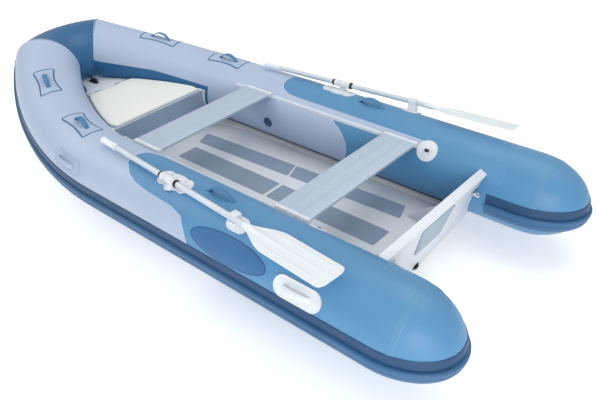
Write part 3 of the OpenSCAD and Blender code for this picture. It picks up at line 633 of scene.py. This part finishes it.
def railPlace(side, station, spot):
    kind, value = station
    height, out = spot
    r = tubeR + out
    half = math.sqrt(r * r - height * height)
    if kind == "inboard":
        return Vector((value, side * (tubeY - half), tubeZ + height))
    if kind == "cone":
        length = (hullForm["coneLength"] + out) * half / r
        a = math.radians(value)
        return Vector((coneX - length * math.sin(a), side * (tubeY + half * math.cos(a)), tubeZ + height))
    return onTube(side, value, math.degrees(math.asin(height / r)), out)


def sideRail(name, node, side, profile, material):
    f = railForm
    wrapX = coneX + hullForm["wrapRun"]
    stations = [("inboard", wrapX + (coneX - wrapX) * i / 4) for i in range(4)]
    stations += [("cone", 180 - 180 * i / f["coneSteps"]) for i in range(f["coneSteps"] + 1)]
    stations += [("along", coneX + (bendX - coneX) * i / f["straightSteps"])
                 for i in range(1, f["straightSteps"] + 1)]
    last = bendRun(hullForm["bendAngle"] + 3)
    stations += [("along", bendX + (last - bendX) * i / f["bendSteps"]) for i in range(1, f["bendSteps"] + 1)]
    bm = bmesh.new()
    sweepProfile(bm, profile, stations, lambda s, p: railPlace(side, s, p))
    cutAt(bm, mirrored(seamPoint, side), mirrored(seamNormal, side), True)
    closeHoles(bm)
    return finishPiece(name, bm, material, "boat", (node,), 40)


def bowRail(name, node, profile, material):
    f = railForm
    reach = bowTurn + math.radians(4)
    bm = bmesh.new()

    def place(a, spot):
        height, out = spot
        r = tubeR + out
        span = bowR + math.sqrt(r * r - height * height)
        return bowCentre + Vector((span * math.cos(a), span * math.sin(a), height))
    stations = [-reach + 2 * reach * i / f["bowSteps"] for i in range(f["bowSteps"] + 1)]
    sweepProfile(bm, profile, stations, place)
    for side in hullForm["sides"]:
        cutAt(bm, mirrored(seamPoint, side), mirrored(seamNormal, side), False)
    closeHoles(bm)
    return finishPiece(name, bm, material, "boat", (node,), 40)


for word, side in (("Port", 1), ("Starboard", -1)):
    sideRail("strake" + word, "strake_" + word.lower(), side, railForm["strake"], materials["strake"])
    sideRail("fender" + word, "fender_" + word.lower(), side, railForm["fender"], materials["navy"])
bowRail("strakeBow", "strake_bow", railForm["strake"], materials["strake"])
bowRail("fenderBow", "fender_bow", railForm["fender"], materials["navy"])
print("rails made")

fittings = {
    "handleAlong": (25.8, 9.5), "handleAngle": (84, 91),  # bend degrees, degrees round
    "patchLength": 0.290, "patchWidth": 0.150, "patchWaist": 0.74, "piping": 0.011,
    "loopX": -0.5653, "loopAngle": 92, "strapWidth": 0.026, "strapThick": 0.003, "loopHeight": 0.036,
    "liftX": -1.2193, "liftAngle": 25, "liftBend": 5.6, "liftBowAngle": 28,
    "liftLength": 0.258, "liftWidth": 0.100, "liftHeight": 0.030,
    "emblemX": -0.7873, "emblemAngle": 30, "emblemLength": 0.490, "emblemWidth": 0.138,
    "patchLift": 0.0013, "patchRise": 0.0005, "emblemLift": 0.0014, "emblemBorder": 0.007,
    "bowLoop": 0.128, "bowLoopFoot": 0.016, "midLoop": 0.140, "midLoopFoot": 0.022,  # span, flat ends
    "transomX": -1.3803, "transomAngle": 141, "transomLength": 0.250, "transomWidth": 0.120,
    "transomLift": 0.0012, "transomBorder": 0.012,
    "liftEdge": 0.0088, "liftBorder": 0.010, "liftDish": -0.0042,
    "liftGripHalf": 0.0125, "liftGripThick": 0.008, "liftGripReach": 0.074,
    "discX": -1.0523, "discAngle": 140, "discR": 0.060, "discLift": 0.0048, "discBorder": 0.008,
    "discDish": -0.0016, "lugApart": 0.018, "lugSize": (0.007, 0.034, 0.007),
    "discStrap": (0.016, 0.0016, 0.044, 0.006, 0.012),  # width, thickness, span, height, flat ends
    "swivelX": -0.28525, "swivelY": 0.702, "oarZ": 0.552, "baseAngle": 79,
    "bandLow": -1.706, "bandHigh": -1.672, "bandOut": 0.0014,
}


def stadiumWidth(length, width):
    r = width / 2
    flat = length / 2 - r

    def half(x):
        over = abs(x) - flat
        return r if over <= 0 else math.sqrt(max(r * r - over * over, 0.0))
    return half


def ellipseWidth(length, width):
    return lambda x: width / 2 * math.sqrt(max(1 - (2 * x / length) ** 2, 0.0))


def waistedWidth(length, width, waist):
    corner = 0.022

    def half(x):
        share = abs(2 * x / length)
        full = width / 2 * (waist + (1 - waist) * share ** 1.8)
        over = abs(x) - (length / 2 - corner)
        return full if over <= 0 else full - corner + math.sqrt(max(corner ** 2 - over ** 2, 0.0))
    return half


def outlinePoints(length, half, steps=28, endSteps=6):
    # round a shape given by its half width, with straight ends where it has them
    xs = [-length / 2 * math.cos(math.pi * i / steps) for i in range(steps + 1)]
    points = [Vector((x, half(x), 0)) for x in xs]
    tip = half(length / 2)
    ends = [tip * (1 - 2 * i / endSteps) for i in range(1, endSteps)] if tip > 1e-4 else []
    points += [Vector((length / 2, y, 0)) for y in ends]
    points += [Vector((x, -half(x), 0)) for x in reversed(xs[1:-1] if tip <= 1e-4 else xs)]
    points += [Vector((-length / 2, -y, 0)) for y in ends]
    return points


def skinPatch(bm, place, length, half, lift, border=0.006, rise=0.0):
    # a thin closed patch: rings that climb its edge, cross its border and close at its middle
    points = outlinePoints(length, half)
    count = len(points)
    inward = []
    for i in range(count):
        run = points[(i + 1) % count] - points[i - 1]
        inward.append(Vector((run.y, -run.x, 0)).normalized())
    inner = [points[i] + inward[i] * border for i in range(count)]
    soft = min(0.0008, lift * 0.4)
    rings = [(-soft, 0.0002), (0.0, lift - soft), (soft, lift), (border, lift + rise)]

    def at(station, i):
        if station < len(rings):
            inset, z = rings[station]
            spot = points[i] + inward[i] * inset
        else:
            z = lift + rise
            spot = inner[i] * (1 - 0.16 * (station - len(rings) + 1))
        return place(Vector((spot.x, spot.y, z)))
    part = bmesh.new()
    sweepProfile(part, list(range(count)), list(range(len(rings) + 6)), at, marked=(3,))
    joinInto(bm, part)


def tubeSpot(side, along, angle):
    return lambda p: onTube(side, along + p.x, angle + math.degrees(p.y / tubeR), p.z)


def strapArch(bm, place, width, thick, length, height, foot, steps=22):
    # a strap that lies flat at both ends and arches between them
    w, t = width / 2, thick
    profile = [(-w, 0.0), (-w + 0.001, -0.0004), (w - 0.001, -0.0004), (w, 0.0), (w, t * 0.7),
               (w - 0.001, t), (-w + 0.001, t), (-w, t * 0.7)]
    stations = [-1 + 2 * i / steps for i in range(steps + 1)]

    def at(s, p):
        reach = length / 2 + foot
        x = s * reach
        share = max(0.0, 1 - (x / (length / 2)) ** 2)
        lift = height * share ** 0.62
        return place(Vector((x, p[0], 0.0006 + lift + p[1])))
    part = bmesh.new()
    sweepProfile(part, profile, stations, at)
    joinInto(bm, part)


def pairPiece(name, build, finishes, node, sharp=38):  # one piece, built on both tubes
    bm = bmesh.new()
    for side in hullForm["sides"]:
        build(bm, side)
    given = [materials[finish] for finish in finishes]
    return finishPiece(name, bm, given, "boat", (node,) if node else (), sharp)


def makePatches():
    f = fittings
    spots = list(zip(f["handleAlong"], f["handleAngle"]))

    def handlePatches(bm, side):
        waisted = waistedWidth(f["patchLength"], f["patchWidth"], f["patchWaist"])
        for along, angle in spots:
            skinPatch(bm, tubeSpot(side, bendRun(along), angle), f["patchLength"], waisted,
                      f["patchLift"], f["piping"], f["patchRise"])

    def loops(bm, side):
        for along, angle in spots:
            strapArch(bm, tubeSpot(side, bendRun(along), angle), f["strapWidth"], f["strapThick"],
                      f["bowLoop"], f["loopHeight"], f["bowLoopFoot"])
        strapArch(bm, tubeSpot(side, f["loopX"], f["loopAngle"]), f["strapWidth"], f["strapThick"],
                  f["midLoop"], f["loopHeight"], f["midLoopFoot"])

    def emblem(bm, side):
        skinPatch(bm, tubeSpot(side, f["emblemX"], f["emblemAngle"]), f["emblemLength"],
                  ellipseWidth(f["emblemLength"], f["emblemWidth"]), f["emblemLift"],
                  f["emblemBorder"], 0.0004)

    def transomPatch(bm, side):
        skinPatch(bm, tubeSpot(side, f["transomX"], f["transomAngle"]), f["transomLength"],
                  waistedWidth(f["transomLength"], f["transomWidth"], 1.0), f["transomLift"],
                  f["transomBorder"], 0.0004)
    pairPiece("handlePatches", handlePatches, ("patch", "patchLine"), "handle_patches")
    pairPiece("handleLoops", loops, ("web",), "handle_loops")
    pairPiece("emblemPatches", emblem, ("emblem", "emblemLine"), "emblem_patches")
    pairPiece("transomPatches", transomPatch, ("patchBlue", "seamBand"), "transom_patches")


def makeSeamBands():
    f = fittings
    length = hullForm["coneLength"]

    def band(bm, side):
        part = bmesh.new()
        points = []
        for i in range(9):
            x = f["bandLow"] + (f["bandHigh"] - f["bandLow"]) * i / 8
            edge = 1 - smoothStep(abs(i - 4) - 3)
            lift = 0.0002 + f["bandOut"] * (1.0 if 0 < i < 8 else 0.0) - 0.0004 * (1 if i == 4 else 0) * edge
            a = math.acos((coneX - x) / length)
            normal = Vector((-math.cos(a) / length, 0, math.sin(a) / tubeR)).normalized()
            points.append(Vector((x, side * tubeY, tubeZ + tubeR * math.sin(a))) + normal * lift)
        spinProfile(part, points, Vector((0, side * tubeY, tubeZ)), ahead, 96)
        joinInto(bm, part)
    pairPiece("sternSeamBands", band, ("seamBand",), "stern_seam_bands", 50)


def liftHandle(bm, place, length, width, height):
    f = fittings
    skinPatch(bm, place, length, stadiumWidth(length, width), f["liftEdge"], f["liftBorder"], f["liftDish"])
    w, t = f["liftGripHalf"], f["liftGripThick"]
    profile = [(w * math.cos(a) * (1 - 0.15 * abs(math.sin(a))), t / 2 + t / 2 * math.sin(a))
               for a in [2 * math.pi * i / 16 for i in range(16)]]
    part = bmesh.new()

    def at(s, p):
        x = s * f["liftGripReach"]
        lift = 0.0035 + (height - 0.0115) * (1 - abs(s) ** 2.6)
        return place(Vector((x, p[0], lift + p[1])))
    sweepProfile(part, profile, [-1 + i / 12 for i in range(25)], at)
    joinInto(bm, part)


def makeLiftHandles():
    f = fittings

    def stern(bm, side):
        liftHandle(bm, tubeSpot(side, f["liftX"], f["liftAngle"]), f["liftLength"], f["liftWidth"],
                   f["liftHeight"])

    def bow(bm, side):
        liftHandle(bm, tubeSpot(side, bendRun(f["liftBend"]), f["liftBowAngle"]), f["liftLength"],
                   f["liftWidth"] * 0.85, f["liftHeight"])
    pairPiece("liftHandlesStern", stern, ("white", "white"), "lift_handles_stern")
    pairPiece("liftHandlesBow", bow, ("patch", "patch"), "lift_handles_bow")


def makeDiscs():
    f = fittings

    def disc(bm, side):
        place = tubeSpot(side, f["discX"], f["discAngle"])
        wide = 2 * f["discR"]
        skinPatch(bm, place, wide, ellipseWidth(wide, wide), f["discLift"], f["discBorder"], f["discDish"])
        for x in (-f["lugApart"], f["lugApart"]):  # lugs that hold the strap
            part = bmesh.new()
            lug = Matrix.Translation((x, 0, 0.006)) @ Matrix.Diagonal((*f["lugSize"], 1))
            bmesh.ops.create_cube(part, size=1, matrix=lug)
            bevelEdges(part, 0.0015)
            for v in part.verts:
                v.co = place(v.co)
            joinInto(bm, part)

    def strap(bm, side):
        strapArch(bm, tubeSpot(side, f["discX"], f["discAngle"]), *f["discStrap"], steps=14)
    pairPiece("seatStopDiscs", disc, ("white", "white"), "seat_stop_discs")
    pairPiece("discStraps", strap, ("black",), None)


makePatches()
makeSeamBands()
makeLiftHandles()
makeDiscs()
print("patches and handles made")

oarForm = {
    "splay": 4.56, "reach": 0.617, "shaftR": 0.015, "lap": 0.004,  # lap: run of the shaft into its ends
    "gripLength": 0.130, "gripR": 0.0172, "gripRim": 0.0190, "gripEnd": 0.0165,
    "grooves": 12, "groovePitch": 0.0078, "grooveR": 0.0162,
    "collarR": 0.022, "sleeve": 0.055, "stop": 0.014, "waist": 0.0015,  # sleeve, and how deep its waist is
    "bladeStart": 0.573, "bladeLength": 0.540, "bladeWidth": 0.165, "neck": 0.017, "corner": 0.030,
    "feather": {1: 90, -1: 104},  # blade turn, degrees
    "bladeRibs": (-0.052, 0.0, 0.052), "ribHeight": 0.0036, "ribHalf": 0.005,
    "spineHeight": 0.010, "spineHalf": 0.013,
    "baseLength": 0.230, "baseWidth": 0.104,
    "screws": ((-0.086, 0.0), (0.086, 0.0), (-0.052, 0.026), (-0.052, -0.026),
               (0.052, 0.026), (0.052, -0.026)),
}


def oarAxes(side):
    s = math.radians(oarForm["splay"])
    start = Vector((fittings["swivelX"], side * fittings["swivelY"], fittings["oarZ"]))
    along = Vector((-math.cos(s), side * math.sin(s), 0))
    across = Vector((math.sin(s), side * math.cos(s), 0))
    return start, along, across, Vector((0, 0, 1))


def turned(bm, side, rows, steps=40):  # rows of (distance along the oar, radius)
    start, along, _, up = oarAxes(side)
    points = [start + along * z + up * r for z, r in rows]
    part = bmesh.new()
    spinProfile(part, points, start, along, steps)
    closeHoles(part)
    joinInto(bm, part)


def oarPiece(label, word, bm, finish, node=None):
    low = word.lower()
    finishPiece(label + word, bm, materials[finish], "oar_" + low, (node + "_" + low,) if node else ())


def makeShaft(side, word):
    f = oarForm
    r = f["shaftR"]
    bm = bmesh.new()
    turned(bm, side, [(-f["reach"] + f["gripLength"] - f["lap"], r), (f["bladeStart"] + f["lap"], r)])
    oarPiece("oarShaft", word, bm, "shaft", "oar_shaft")
    bm = bmesh.new()
    for end in (-1, 1):  # stop rings either side of the sleeve
        a, b = f["sleeve"] + 0.003, f["sleeve"] + 0.003 + f["stop"]
        turned(bm, side, [(end * a, r), (end * a, r + 0.0052), (end * (a + 0.001), r + 0.006),
                          (end * (a + 0.006), r + 0.006), (end * (b - 0.002), r + 0.003),
                          (end * b, r + 0.0015), (end * b, r)])
    oarPiece("oarStops", word, bm, "black")


def makeGrip(side, word):
    f = oarForm
    rim, end, body, groove = f["gripRim"], f["gripEnd"], f["gripR"], f["grooveR"]
    low, high = -f["reach"], -f["reach"] + f["gripLength"]
    rows = [(low, 0.003), (low, end), (low + 0.003, rim), (low + 0.010, rim), (low + 0.014, body)]
    for i in range(f["grooves"]):  # shallow finger grooves
        z = low + 0.018 + i * f["groovePitch"]
        rows += [(z, body), (z + 0.0012, groove), (z + 0.0030, groove), (z + 0.0042, body)]
    rows += [(high - 0.014, body), (high - 0.011, rim), (high - 0.003, rim), (high, end), (high, f["shaftR"])]
    bm = bmesh.new()
    turned(bm, side, rows)
    oarPiece("oarGrip", word, bm, "grip", "oar_grip")


def makeBlade(side, word):  # a thin shaped sheet with a raised spine and ribs
    f = oarForm
    start, along, across, up = oarAxes(side)
    turn = math.radians(f["feather"][side])
    wide = up * math.cos(turn) + across * math.sin(turn)
    thin = across * math.cos(turn) - up * math.sin(turn)
    length, half, neck, corner = f["bladeLength"], f["bladeWidth"] / 2, f["neck"], f["corner"]

    def halfAt(z):
        grown = neck + (half - neck) * smoothStep(z / 0.20) ** 0.85
        over = z - (length - corner)
        return grown if over <= 0 else grown - corner + math.sqrt(max(corner ** 2 - over ** 2, 0))
    bm = bmesh.new()
    for face in (1, -1):
        part = bmesh.new()
        for v in flatGrid(part, 64, 34):
            z = length * (v.co.x + 0.5)
            u = 2 * v.co.y
            y = u * halfAt(z)
            rib = sum(math.exp(-((y - c) / f["ribHalf"]) ** 2) for c in f["bladeRibs"])
            ends = smoothStep((z - 0.10) / 0.08) * smoothStep((length - 0.02 - z) / 0.06)
            fade = ends * smoothStep((0.97 - abs(u)) / 0.12)
            crest = f["spineHeight"] * math.exp(-(y / f["spineHalf"]) ** 2)
            spine = crest * (1 - smoothStep((z - 0.02) / 0.30))
            edge = smoothStep((1 - abs(u)) / 0.10)
            t = 0.0012 + 0.0016 * edge + f["ribHeight"] * rib * fade + spine
            v.co = start + along * (f["bladeStart"] + z) + wide * y + thin * (face * t)
        joinInto(bm, part)
    bmesh.ops.bridge_loops(bm, edges=[e for e in bm.edges if e.is_boundary])
    z = f["bladeStart"]
    turned(bm, side, [(z - 0.002, 0.0158), (z + 0.002, 0.0172), (z + 0.030, 0.0172), (z + 0.060, 0.0140),
                      (z + 0.075, 0.004)])
    oarPiece("oarBlade", word, bm, "blade", "oar_blade")


def makeSleeve(side, word):  # turns in the oarlock
    f = oarForm
    start, r = oarAxes(side)[0], f["shaftR"]
    c, s, waist = f["collarR"], f["sleeve"], f["waist"]
    bm = bmesh.new()
    turned(bm, side, [(-s, r + 0.0006), (-s, c - 0.0025), (-s + 0.0025, c), (-s + 0.012, c),
                      (-s + 0.014, c - waist), (-0.024, c - waist), (-0.022, c), (0.022, c),
                      (0.024, c - waist), (s - 0.014, c - waist), (s - 0.012, c), (s - 0.0025, c),
                      (s, c - 0.0025), (s, r + 0.0006)])
    part = bmesh.new()
    bmesh.ops.create_cone(part, cap_ends=True, segments=32, radius1=0.008, radius2=0.008, depth=0.022,
                          matrix=Matrix.Translation(start - Vector((0, 0, c + 0.006))))
    joinInto(bm, part)
    finishPiece("oarlockSleeve" + word, bm, materials["white"], "oarlock_" + word.lower(),
                ("oarlock_swivel_" + word.lower(),))


def makeOarlockBase(side, word):  # base plate, boss and screws
    f, g = oarForm, fittings
    start = oarAxes(side)[0]
    place = tubeSpot(side, g["swivelX"], g["baseAngle"])
    bm = bmesh.new()

    def lobed(x):
        plain = stadiumWidth(f["baseLength"], f["baseWidth"])(x)
        return plain * (1 - 0.16 * math.exp(-((abs(x) - 0.052) / 0.022) ** 2))
    skinPatch(bm, place, f["baseLength"], lobed, 0.0065, 0.007, -0.0014)
    part = bmesh.new()
    top = g["oarZ"] - f["collarR"] - 0.0004
    boss = ((0.034, top - 0.023), (0.026, top - 0.021), (0.0195, top - 0.012), (0.0180, top - 0.002),
            (0.0165, top), (0.0083, top), (0.0083, top - 0.02))
    spinProfile(part, [start + Vector((x, 0, z - g["oarZ"])) for x, z in boss], start, Vector((0, 0, 1)), 40)
    joinInto(bm, part)
    finishPiece("oarlockBase" + word, bm, [materials["white"], materials["white"]], "boat",
                ("oarlock_base_" + word.lower(),))
    bm = bmesh.new()
    for x, y in f["screws"]:
        part = bmesh.new()
        bmesh.ops.create_cone(part, cap_ends=True, segments=16, radius1=0.0050, radius2=0.0036, depth=0.0022,
                              matrix=Matrix.Translation((x, y, 0.0062)))
        for v in part.verts:
            v.co = place(v.co)
        joinInto(bm, part)
    finishPiece("oarlockScrews" + word, bm, materials["steel"], "boat")


for side, word in ((1, "Port"), (-1, "Starboard")):
    for make in (makeShaft, makeGrip, makeBlade, makeSleeve, makeOarlockBase):
        make(side, word)
print("oars made")

seatForm = {
    "width": 0.217, "capWidth": 0.020, "clear": 0.014, "edgeRound": 0.004,
    "grooves": 2, "grooveHalf": 0.0022, "grooveFloor": 0.0012, "grooveDepth": 0.0016,
}


def seatEnd(side, z, clear):
    r = tubeR + clear
    return side * (tubeY - math.sqrt(r * r - (z - tubeZ) ** 2))


def makeSeat(name, node, body):
    f = seatForm
    low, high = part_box(node)
    x0, top, base = low.x, high.z, low.z
    w, r = f["width"], f["edgeRound"]
    profile = [(x0 + w / 2, base + 0.001), (x0 + 0.003, base)]
    for i in range(5):  # rounded aft edge
        a = math.pi / 2 * i / 4
        profile.append((x0 + r - r * math.cos(a), top - r + r * math.sin(a)))
    lip, flat, floor = f["grooveHalf"], f["grooveFloor"], top - f["grooveDepth"]
    for j in range(1, f["grooves"] + 1):  # shallow grooves between the planks
        x = x0 + w * j / (f["grooves"] + 1)
        profile += [(x - lip, top), (x - flat, floor), (x + flat, floor), (x + lip, top)]
    for i in range(5):
        a = math.pi / 2 * i / 4
        profile.append((x0 + w - r + r * math.sin(a), top - r + r * math.cos(a)))
    profile.append((x0 + w - 0.003, base))
    bm = bmesh.new()
    inner = 1 - f["capWidth"] / high.y
    stations = [-1 + 2 * i / 12 for i in range(13)]

    def plank(s, p):
        return Vector((p[0], seatEnd(1, p[1], f["clear"]) * inner * s, p[1]))
    sweepProfile(bm, profile, stations, plank)
    finishPiece(name + "Planks", bm, materials["seat"], body, (node,), 30)
    bm = bmesh.new()
    for side in hullForm["sides"]:
        part = bmesh.new()
        cap = [(x + (0.001 if x > x0 + w / 2 else -0.001), z + (0.0012 if z > base + 0.01 else -0.0005))
               for x, z in profile]

        def end(s, p):
            return Vector((p[0], seatEnd(side, p[1], f["clear"]) * (inner + (1 - inner) * s), p[1]))
        sweepProfile(part, cap, [0, 0.12, 0.9, 1], end)
        bevelEdges(part, 0.0008, 2, 50)
        joinInto(bm, part)
    finishPiece(name + "EndCaps", bm, materials["white"], body)


makeSeat("seatFront", "front_seat", "front_seat")
makeSeat("seatRear", "rear_seat", "rear_seat")
softCopy("seatSlidesFront", "seat_slides_front", materials["white"], "front_seat")
softCopy("seatSlidesRear", "seat_slides_rear", materials["white"], "rear_seat")
print("seats made")

cushionForm = {"overhang": 0.003, "edge": 0.013, "crown": 0.007, "steps": 56}


def makeCushion():
    f = cushionForm
    low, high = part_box("lid_cushion")
    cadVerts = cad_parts["lid_cushion"].data.vertices
    spots = sorted({(round(v.co.x, 4), round(v.co.y, 4)) for v in cadVerts if v.co.y > 0.01})

    def half(x):
        for (xa, ya), (xb, yb) in zip(spots, spots[1:]):
            if xa <= x <= xb and xb > xa:
                return ya + (yb - ya) * (x - xa) / (xb - xa)
        return spots[0][1] if x < spots[0][0] else spots[-1][1]
    thick = high.z - low.z
    bm = bmesh.new()
    n = f["steps"]
    for v in flatGrid(bm, n, n):
        u, w = math.sin(math.pi * v.co.x), math.sin(math.pi * v.co.y)
        x = (low.x + high.x) / 2 + u * (high.x - low.x) / 2
        span = half(min(max(x, low.x + 1e-4), high.x - 1e-4)) + f["overhang"]
        corner = 1 - 0.035 * smoothStep((abs(u) - 0.8) / 0.2) * smoothStep((abs(w) - 0.8) / 0.2)
        y = w * span * corner
        gap = min((1 - abs(u)) * (high.x - low.x) / 2, (1 - abs(w)) * span)
        rise = math.sqrt(max(0.0, 1 - (1 - min(gap / f["edge"], 1)) ** 2))
        crown = f["crown"] * (1 - u * u) ** 0.7 * (1 - w * w) ** 0.7
        ripple = 0.0006 * noise.noise(Vector((x * 14, y * 14, 0)))
        v.co = Vector((x, y, low.z + 0.004 + (thick - 0.004) * rise + crown + ripple * rise))
    rims = [e for e in bm.edges if e.is_boundary]
    out = bmesh.ops.extrude_edge_only(bm, edges=rims)
    centre = Vector(((low.x + high.x) / 2, 0, 0))
    for v in vertsOf(out):
        inward = (centre - v.co)
        inward.z = 0
        v.co += inward.normalized() * 0.002
        v.co.z = low.z + 0.0002
    bmesh.ops.holes_fill(bm, edges=[e for e in bm.edges if e.is_boundary], sides=0)
    cushion = finishPiece("lockerCushion", bm, materials["vinyl"], "locker_lid", ("lid_cushion",),
                          70)


makeCushion()
print("cushion made")

copies = {
    # node: piece name, material, body, slot, edge rounding
    "floor_deck": ("floorDeck", "whitePaint", "boat", "white_paint", 0.0006),
    "bow_deck": ("bowDeck", "whitePaint", "boat", "white_paint", 0.0008),
    "bow_bulkhead": ("lockerFront", "greyMetal", "boat", "grey_paint", 0.0006),
    "transom_panel": ("transomPanel", "whitePaint", "boat", "white_paint", 0.002),
    "transom_cap": ("transomCap", "whitePaint", "boat", "white_paint", 0.004),
    "transom_knees": ("transomKnees", "whitePaint", "boat", "white_paint", 0.001),
    "motor_pad_outer": ("motorPadOuter", "motorPad", "boat", "motor_pad", 0.0018),
    "motor_pad_inner": ("motorPadInner", "motorPad", "boat", "motor_pad", 0.0018),
    "towing_eyes": ("towingEyes", "steel", "boat", "steel", 0.001),
    "drain_socket": ("drainSocket", "black", "boat", "black_plastic", 0.0008),
    "drain_plug": ("drainPlug", "black", "drain_plug", "black_plastic", 0.001),
    "keel_guard": ("keelGuard", "keel", "boat", "bare_alloy", 0.0008),
    "oar_clips": ("oarClips", "white", "boat", "white_plastic", 0.0015),
    "valve_bodies": ("valveBodies", "valve", "boat", "blue_plastic", 0.001),
    "valve_cap_port": ("valveCapPort", "valve", "valve_cap_port", "blue_plastic", 0.001),
    "valve_cap_starboard": ("valveCapStarboard", "valve", "valve_cap_starboard", "blue_plastic", 0.001),
    "valve_cap_bow": ("valveCapBow", "valve", "valve_cap_bow", "blue_plastic", 0.001),
    "lid_panel": ("lidPanel", "greyMetal", "locker_lid", "white_paint", 0.0006),
    "lid_hinge": ("lidHinge", "steel", "boat", "steel", 0.0006),
}
for node, (label, finish, body, slot, width) in copies.items():
    softCopy(label, node, materials[finish], body, width)


cleatForm = {
    "baseLength": 0.094, "baseWidth": 0.034, "baseThick": 0.005,
    "legApart": 0.018, "legLow": 0.0105, "legTop": 0.0068, "legHeight": 0.018,  # legApart: from the middle
    "hornReach": 0.068, "hornHalf": 0.0095, "hornThick": 0.0052, "hornLift": 0.0235, "hornSweep": 0.004,
}


def makeCleat():
    f = cleatForm
    low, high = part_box("bow_cleat")
    mid = (low.x + high.x) / 2
    bm = bmesh.new()
    part = bmesh.new()
    face = stadiumRing(part, f["baseLength"], f["baseWidth"])
    extrudeUp(part, face, f["baseThick"])
    bevelEdges(part, 0.0018, 3, 40)
    bmesh.ops.translate(part, verts=part.verts, vec=(mid, 0, low.z))
    joinInto(bm, part)
    for x in (-f["legApart"], f["legApart"]):
        part = bmesh.new()
        bmesh.ops.create_cone(part, segments=24, radius1=f["legLow"], radius2=f["legTop"], depth=f["legHeight"],
                              matrix=Matrix.Translation((mid + x, 0, low.z + 0.013)))
        joinInto(bm, part)
    part = bmesh.new()
    bmesh.ops.create_uvsphere(part, u_segments=32, v_segments=20, radius=1.0)
    for v in part.verts:
        reach = abs(v.co.x)
        y = v.co.y * f["hornHalf"] * (1 - 0.35 * reach)
        z = low.z + f["hornLift"] + v.co.z * f["hornThick"] * (1 - 0.3 * reach) + f["hornSweep"] * reach ** 2
        v.co = Vector((mid + v.co.x * f["hornReach"], y, z))
    joinInto(bm, part)
    finishPiece("bowCleat", bm, materials["black"], "boat", ("bow_cleat",))


makeCleat()
left = {"hull_shell": "hullPaint", "deck_flanges": "whitePaint", "floor_pads": "pad", "baffles": "tube",
        # the joint flaps take the navy tape colour that holds painted shade for the gap between floor and tube
        "joint_flap_port": "gapShadeNavyTape", "joint_flap_starboard": "gapShadeNavyTape",
        "seat_track_port": "track", "seat_track_starboard": "track"}
for node, finish in left.items():
    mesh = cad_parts[node].data
    mesh.materials.clear()
    mesh.materials.append(materials[finish])
print("metal and small parts made")

studio = {
    "floorSize": 60.0, "floorGlow": 0.30, "floorColour": (0.92, 0.92, 0.92, 1), "world": 0.62,
    "key": {"place": (-1.0, -2.0, 5.5), "size": 5.0, "power": 110},
    "fill": {"place": (-4.5, 4.0, 2.2), "size": 4.0, "power": 150},
    "rim": {"place": (4.0, 2.0, 4.5), "size": 3.5, "power": 70},
    "cameraPlace": (-2.6682, 2.3662, 2.2824), "lens": 40.28,
    "cameraTurn": (56.27, 2.27, -139.23),  # degrees about x, y and z
}


def makeStage():
    s = studio
    bm = bmesh.new()
    bmesh.ops.create_grid(bm, x_segments=2, y_segments=2, size=s["floorSize"] / 2)
    mesh = bpy.data.meshes.new("studioFloor")
    bm.to_mesh(mesh)
    bm.free()
    floor = bpy.data.objects.new("studioFloor", mesh)
    bpy.context.scene.collection.objects.link(floor)
    floor.location.z = -0.001
    material, _, shader, _ = newMaterial("studioFloor")
    shader.inputs["Base Color"].default_value = s["floorColour"]
    shader.inputs["Roughness"].default_value = 0.9
    shader.inputs["Emission Color"].default_value = (1, 1, 1, 1)
    shader.inputs["Emission Strength"].default_value = s["floorGlow"]
    mesh.materials.append(material)
    for label in ("key", "fill", "rim"):
        light = bpy.data.lights.new(label, "AREA")
        light.shape = "DISK"
        light.size = s[label]["size"]
        light.energy = s[label]["power"]
        lamp = bpy.data.objects.new(label, light)
        bpy.context.scene.collection.objects.link(lamp)
        lamp.location = s[label]["place"]
        lamp.rotation_euler = (-Vector(s[label]["place"])).to_track_quat("-Z", "Y").to_euler()
    world = bpy.data.worlds.new("studioAir")
    world.use_nodes = True
    air = world.node_tree.nodes["Background"]
    air.inputs[0].default_value = (1, 1, 1, 1)
    air.inputs[1].default_value = s["world"]
    bpy.context.scene.world = world
    camera = bpy.data.cameras.new("viewCamera")
    camera.lens = s["lens"]
    camera.sensor_width = 36
    eye = bpy.data.objects.new("viewCamera", camera)
    bpy.context.scene.collection.objects.link(eye)
    eye.location = s["cameraPlace"]
    eye.rotation_euler = [math.radians(angle) for angle in s["cameraTurn"]]
    bpy.context.scene.camera = eye
    bpy.context.scene.view_settings.view_transform = "Standard"


makeStage()
print("stage set")
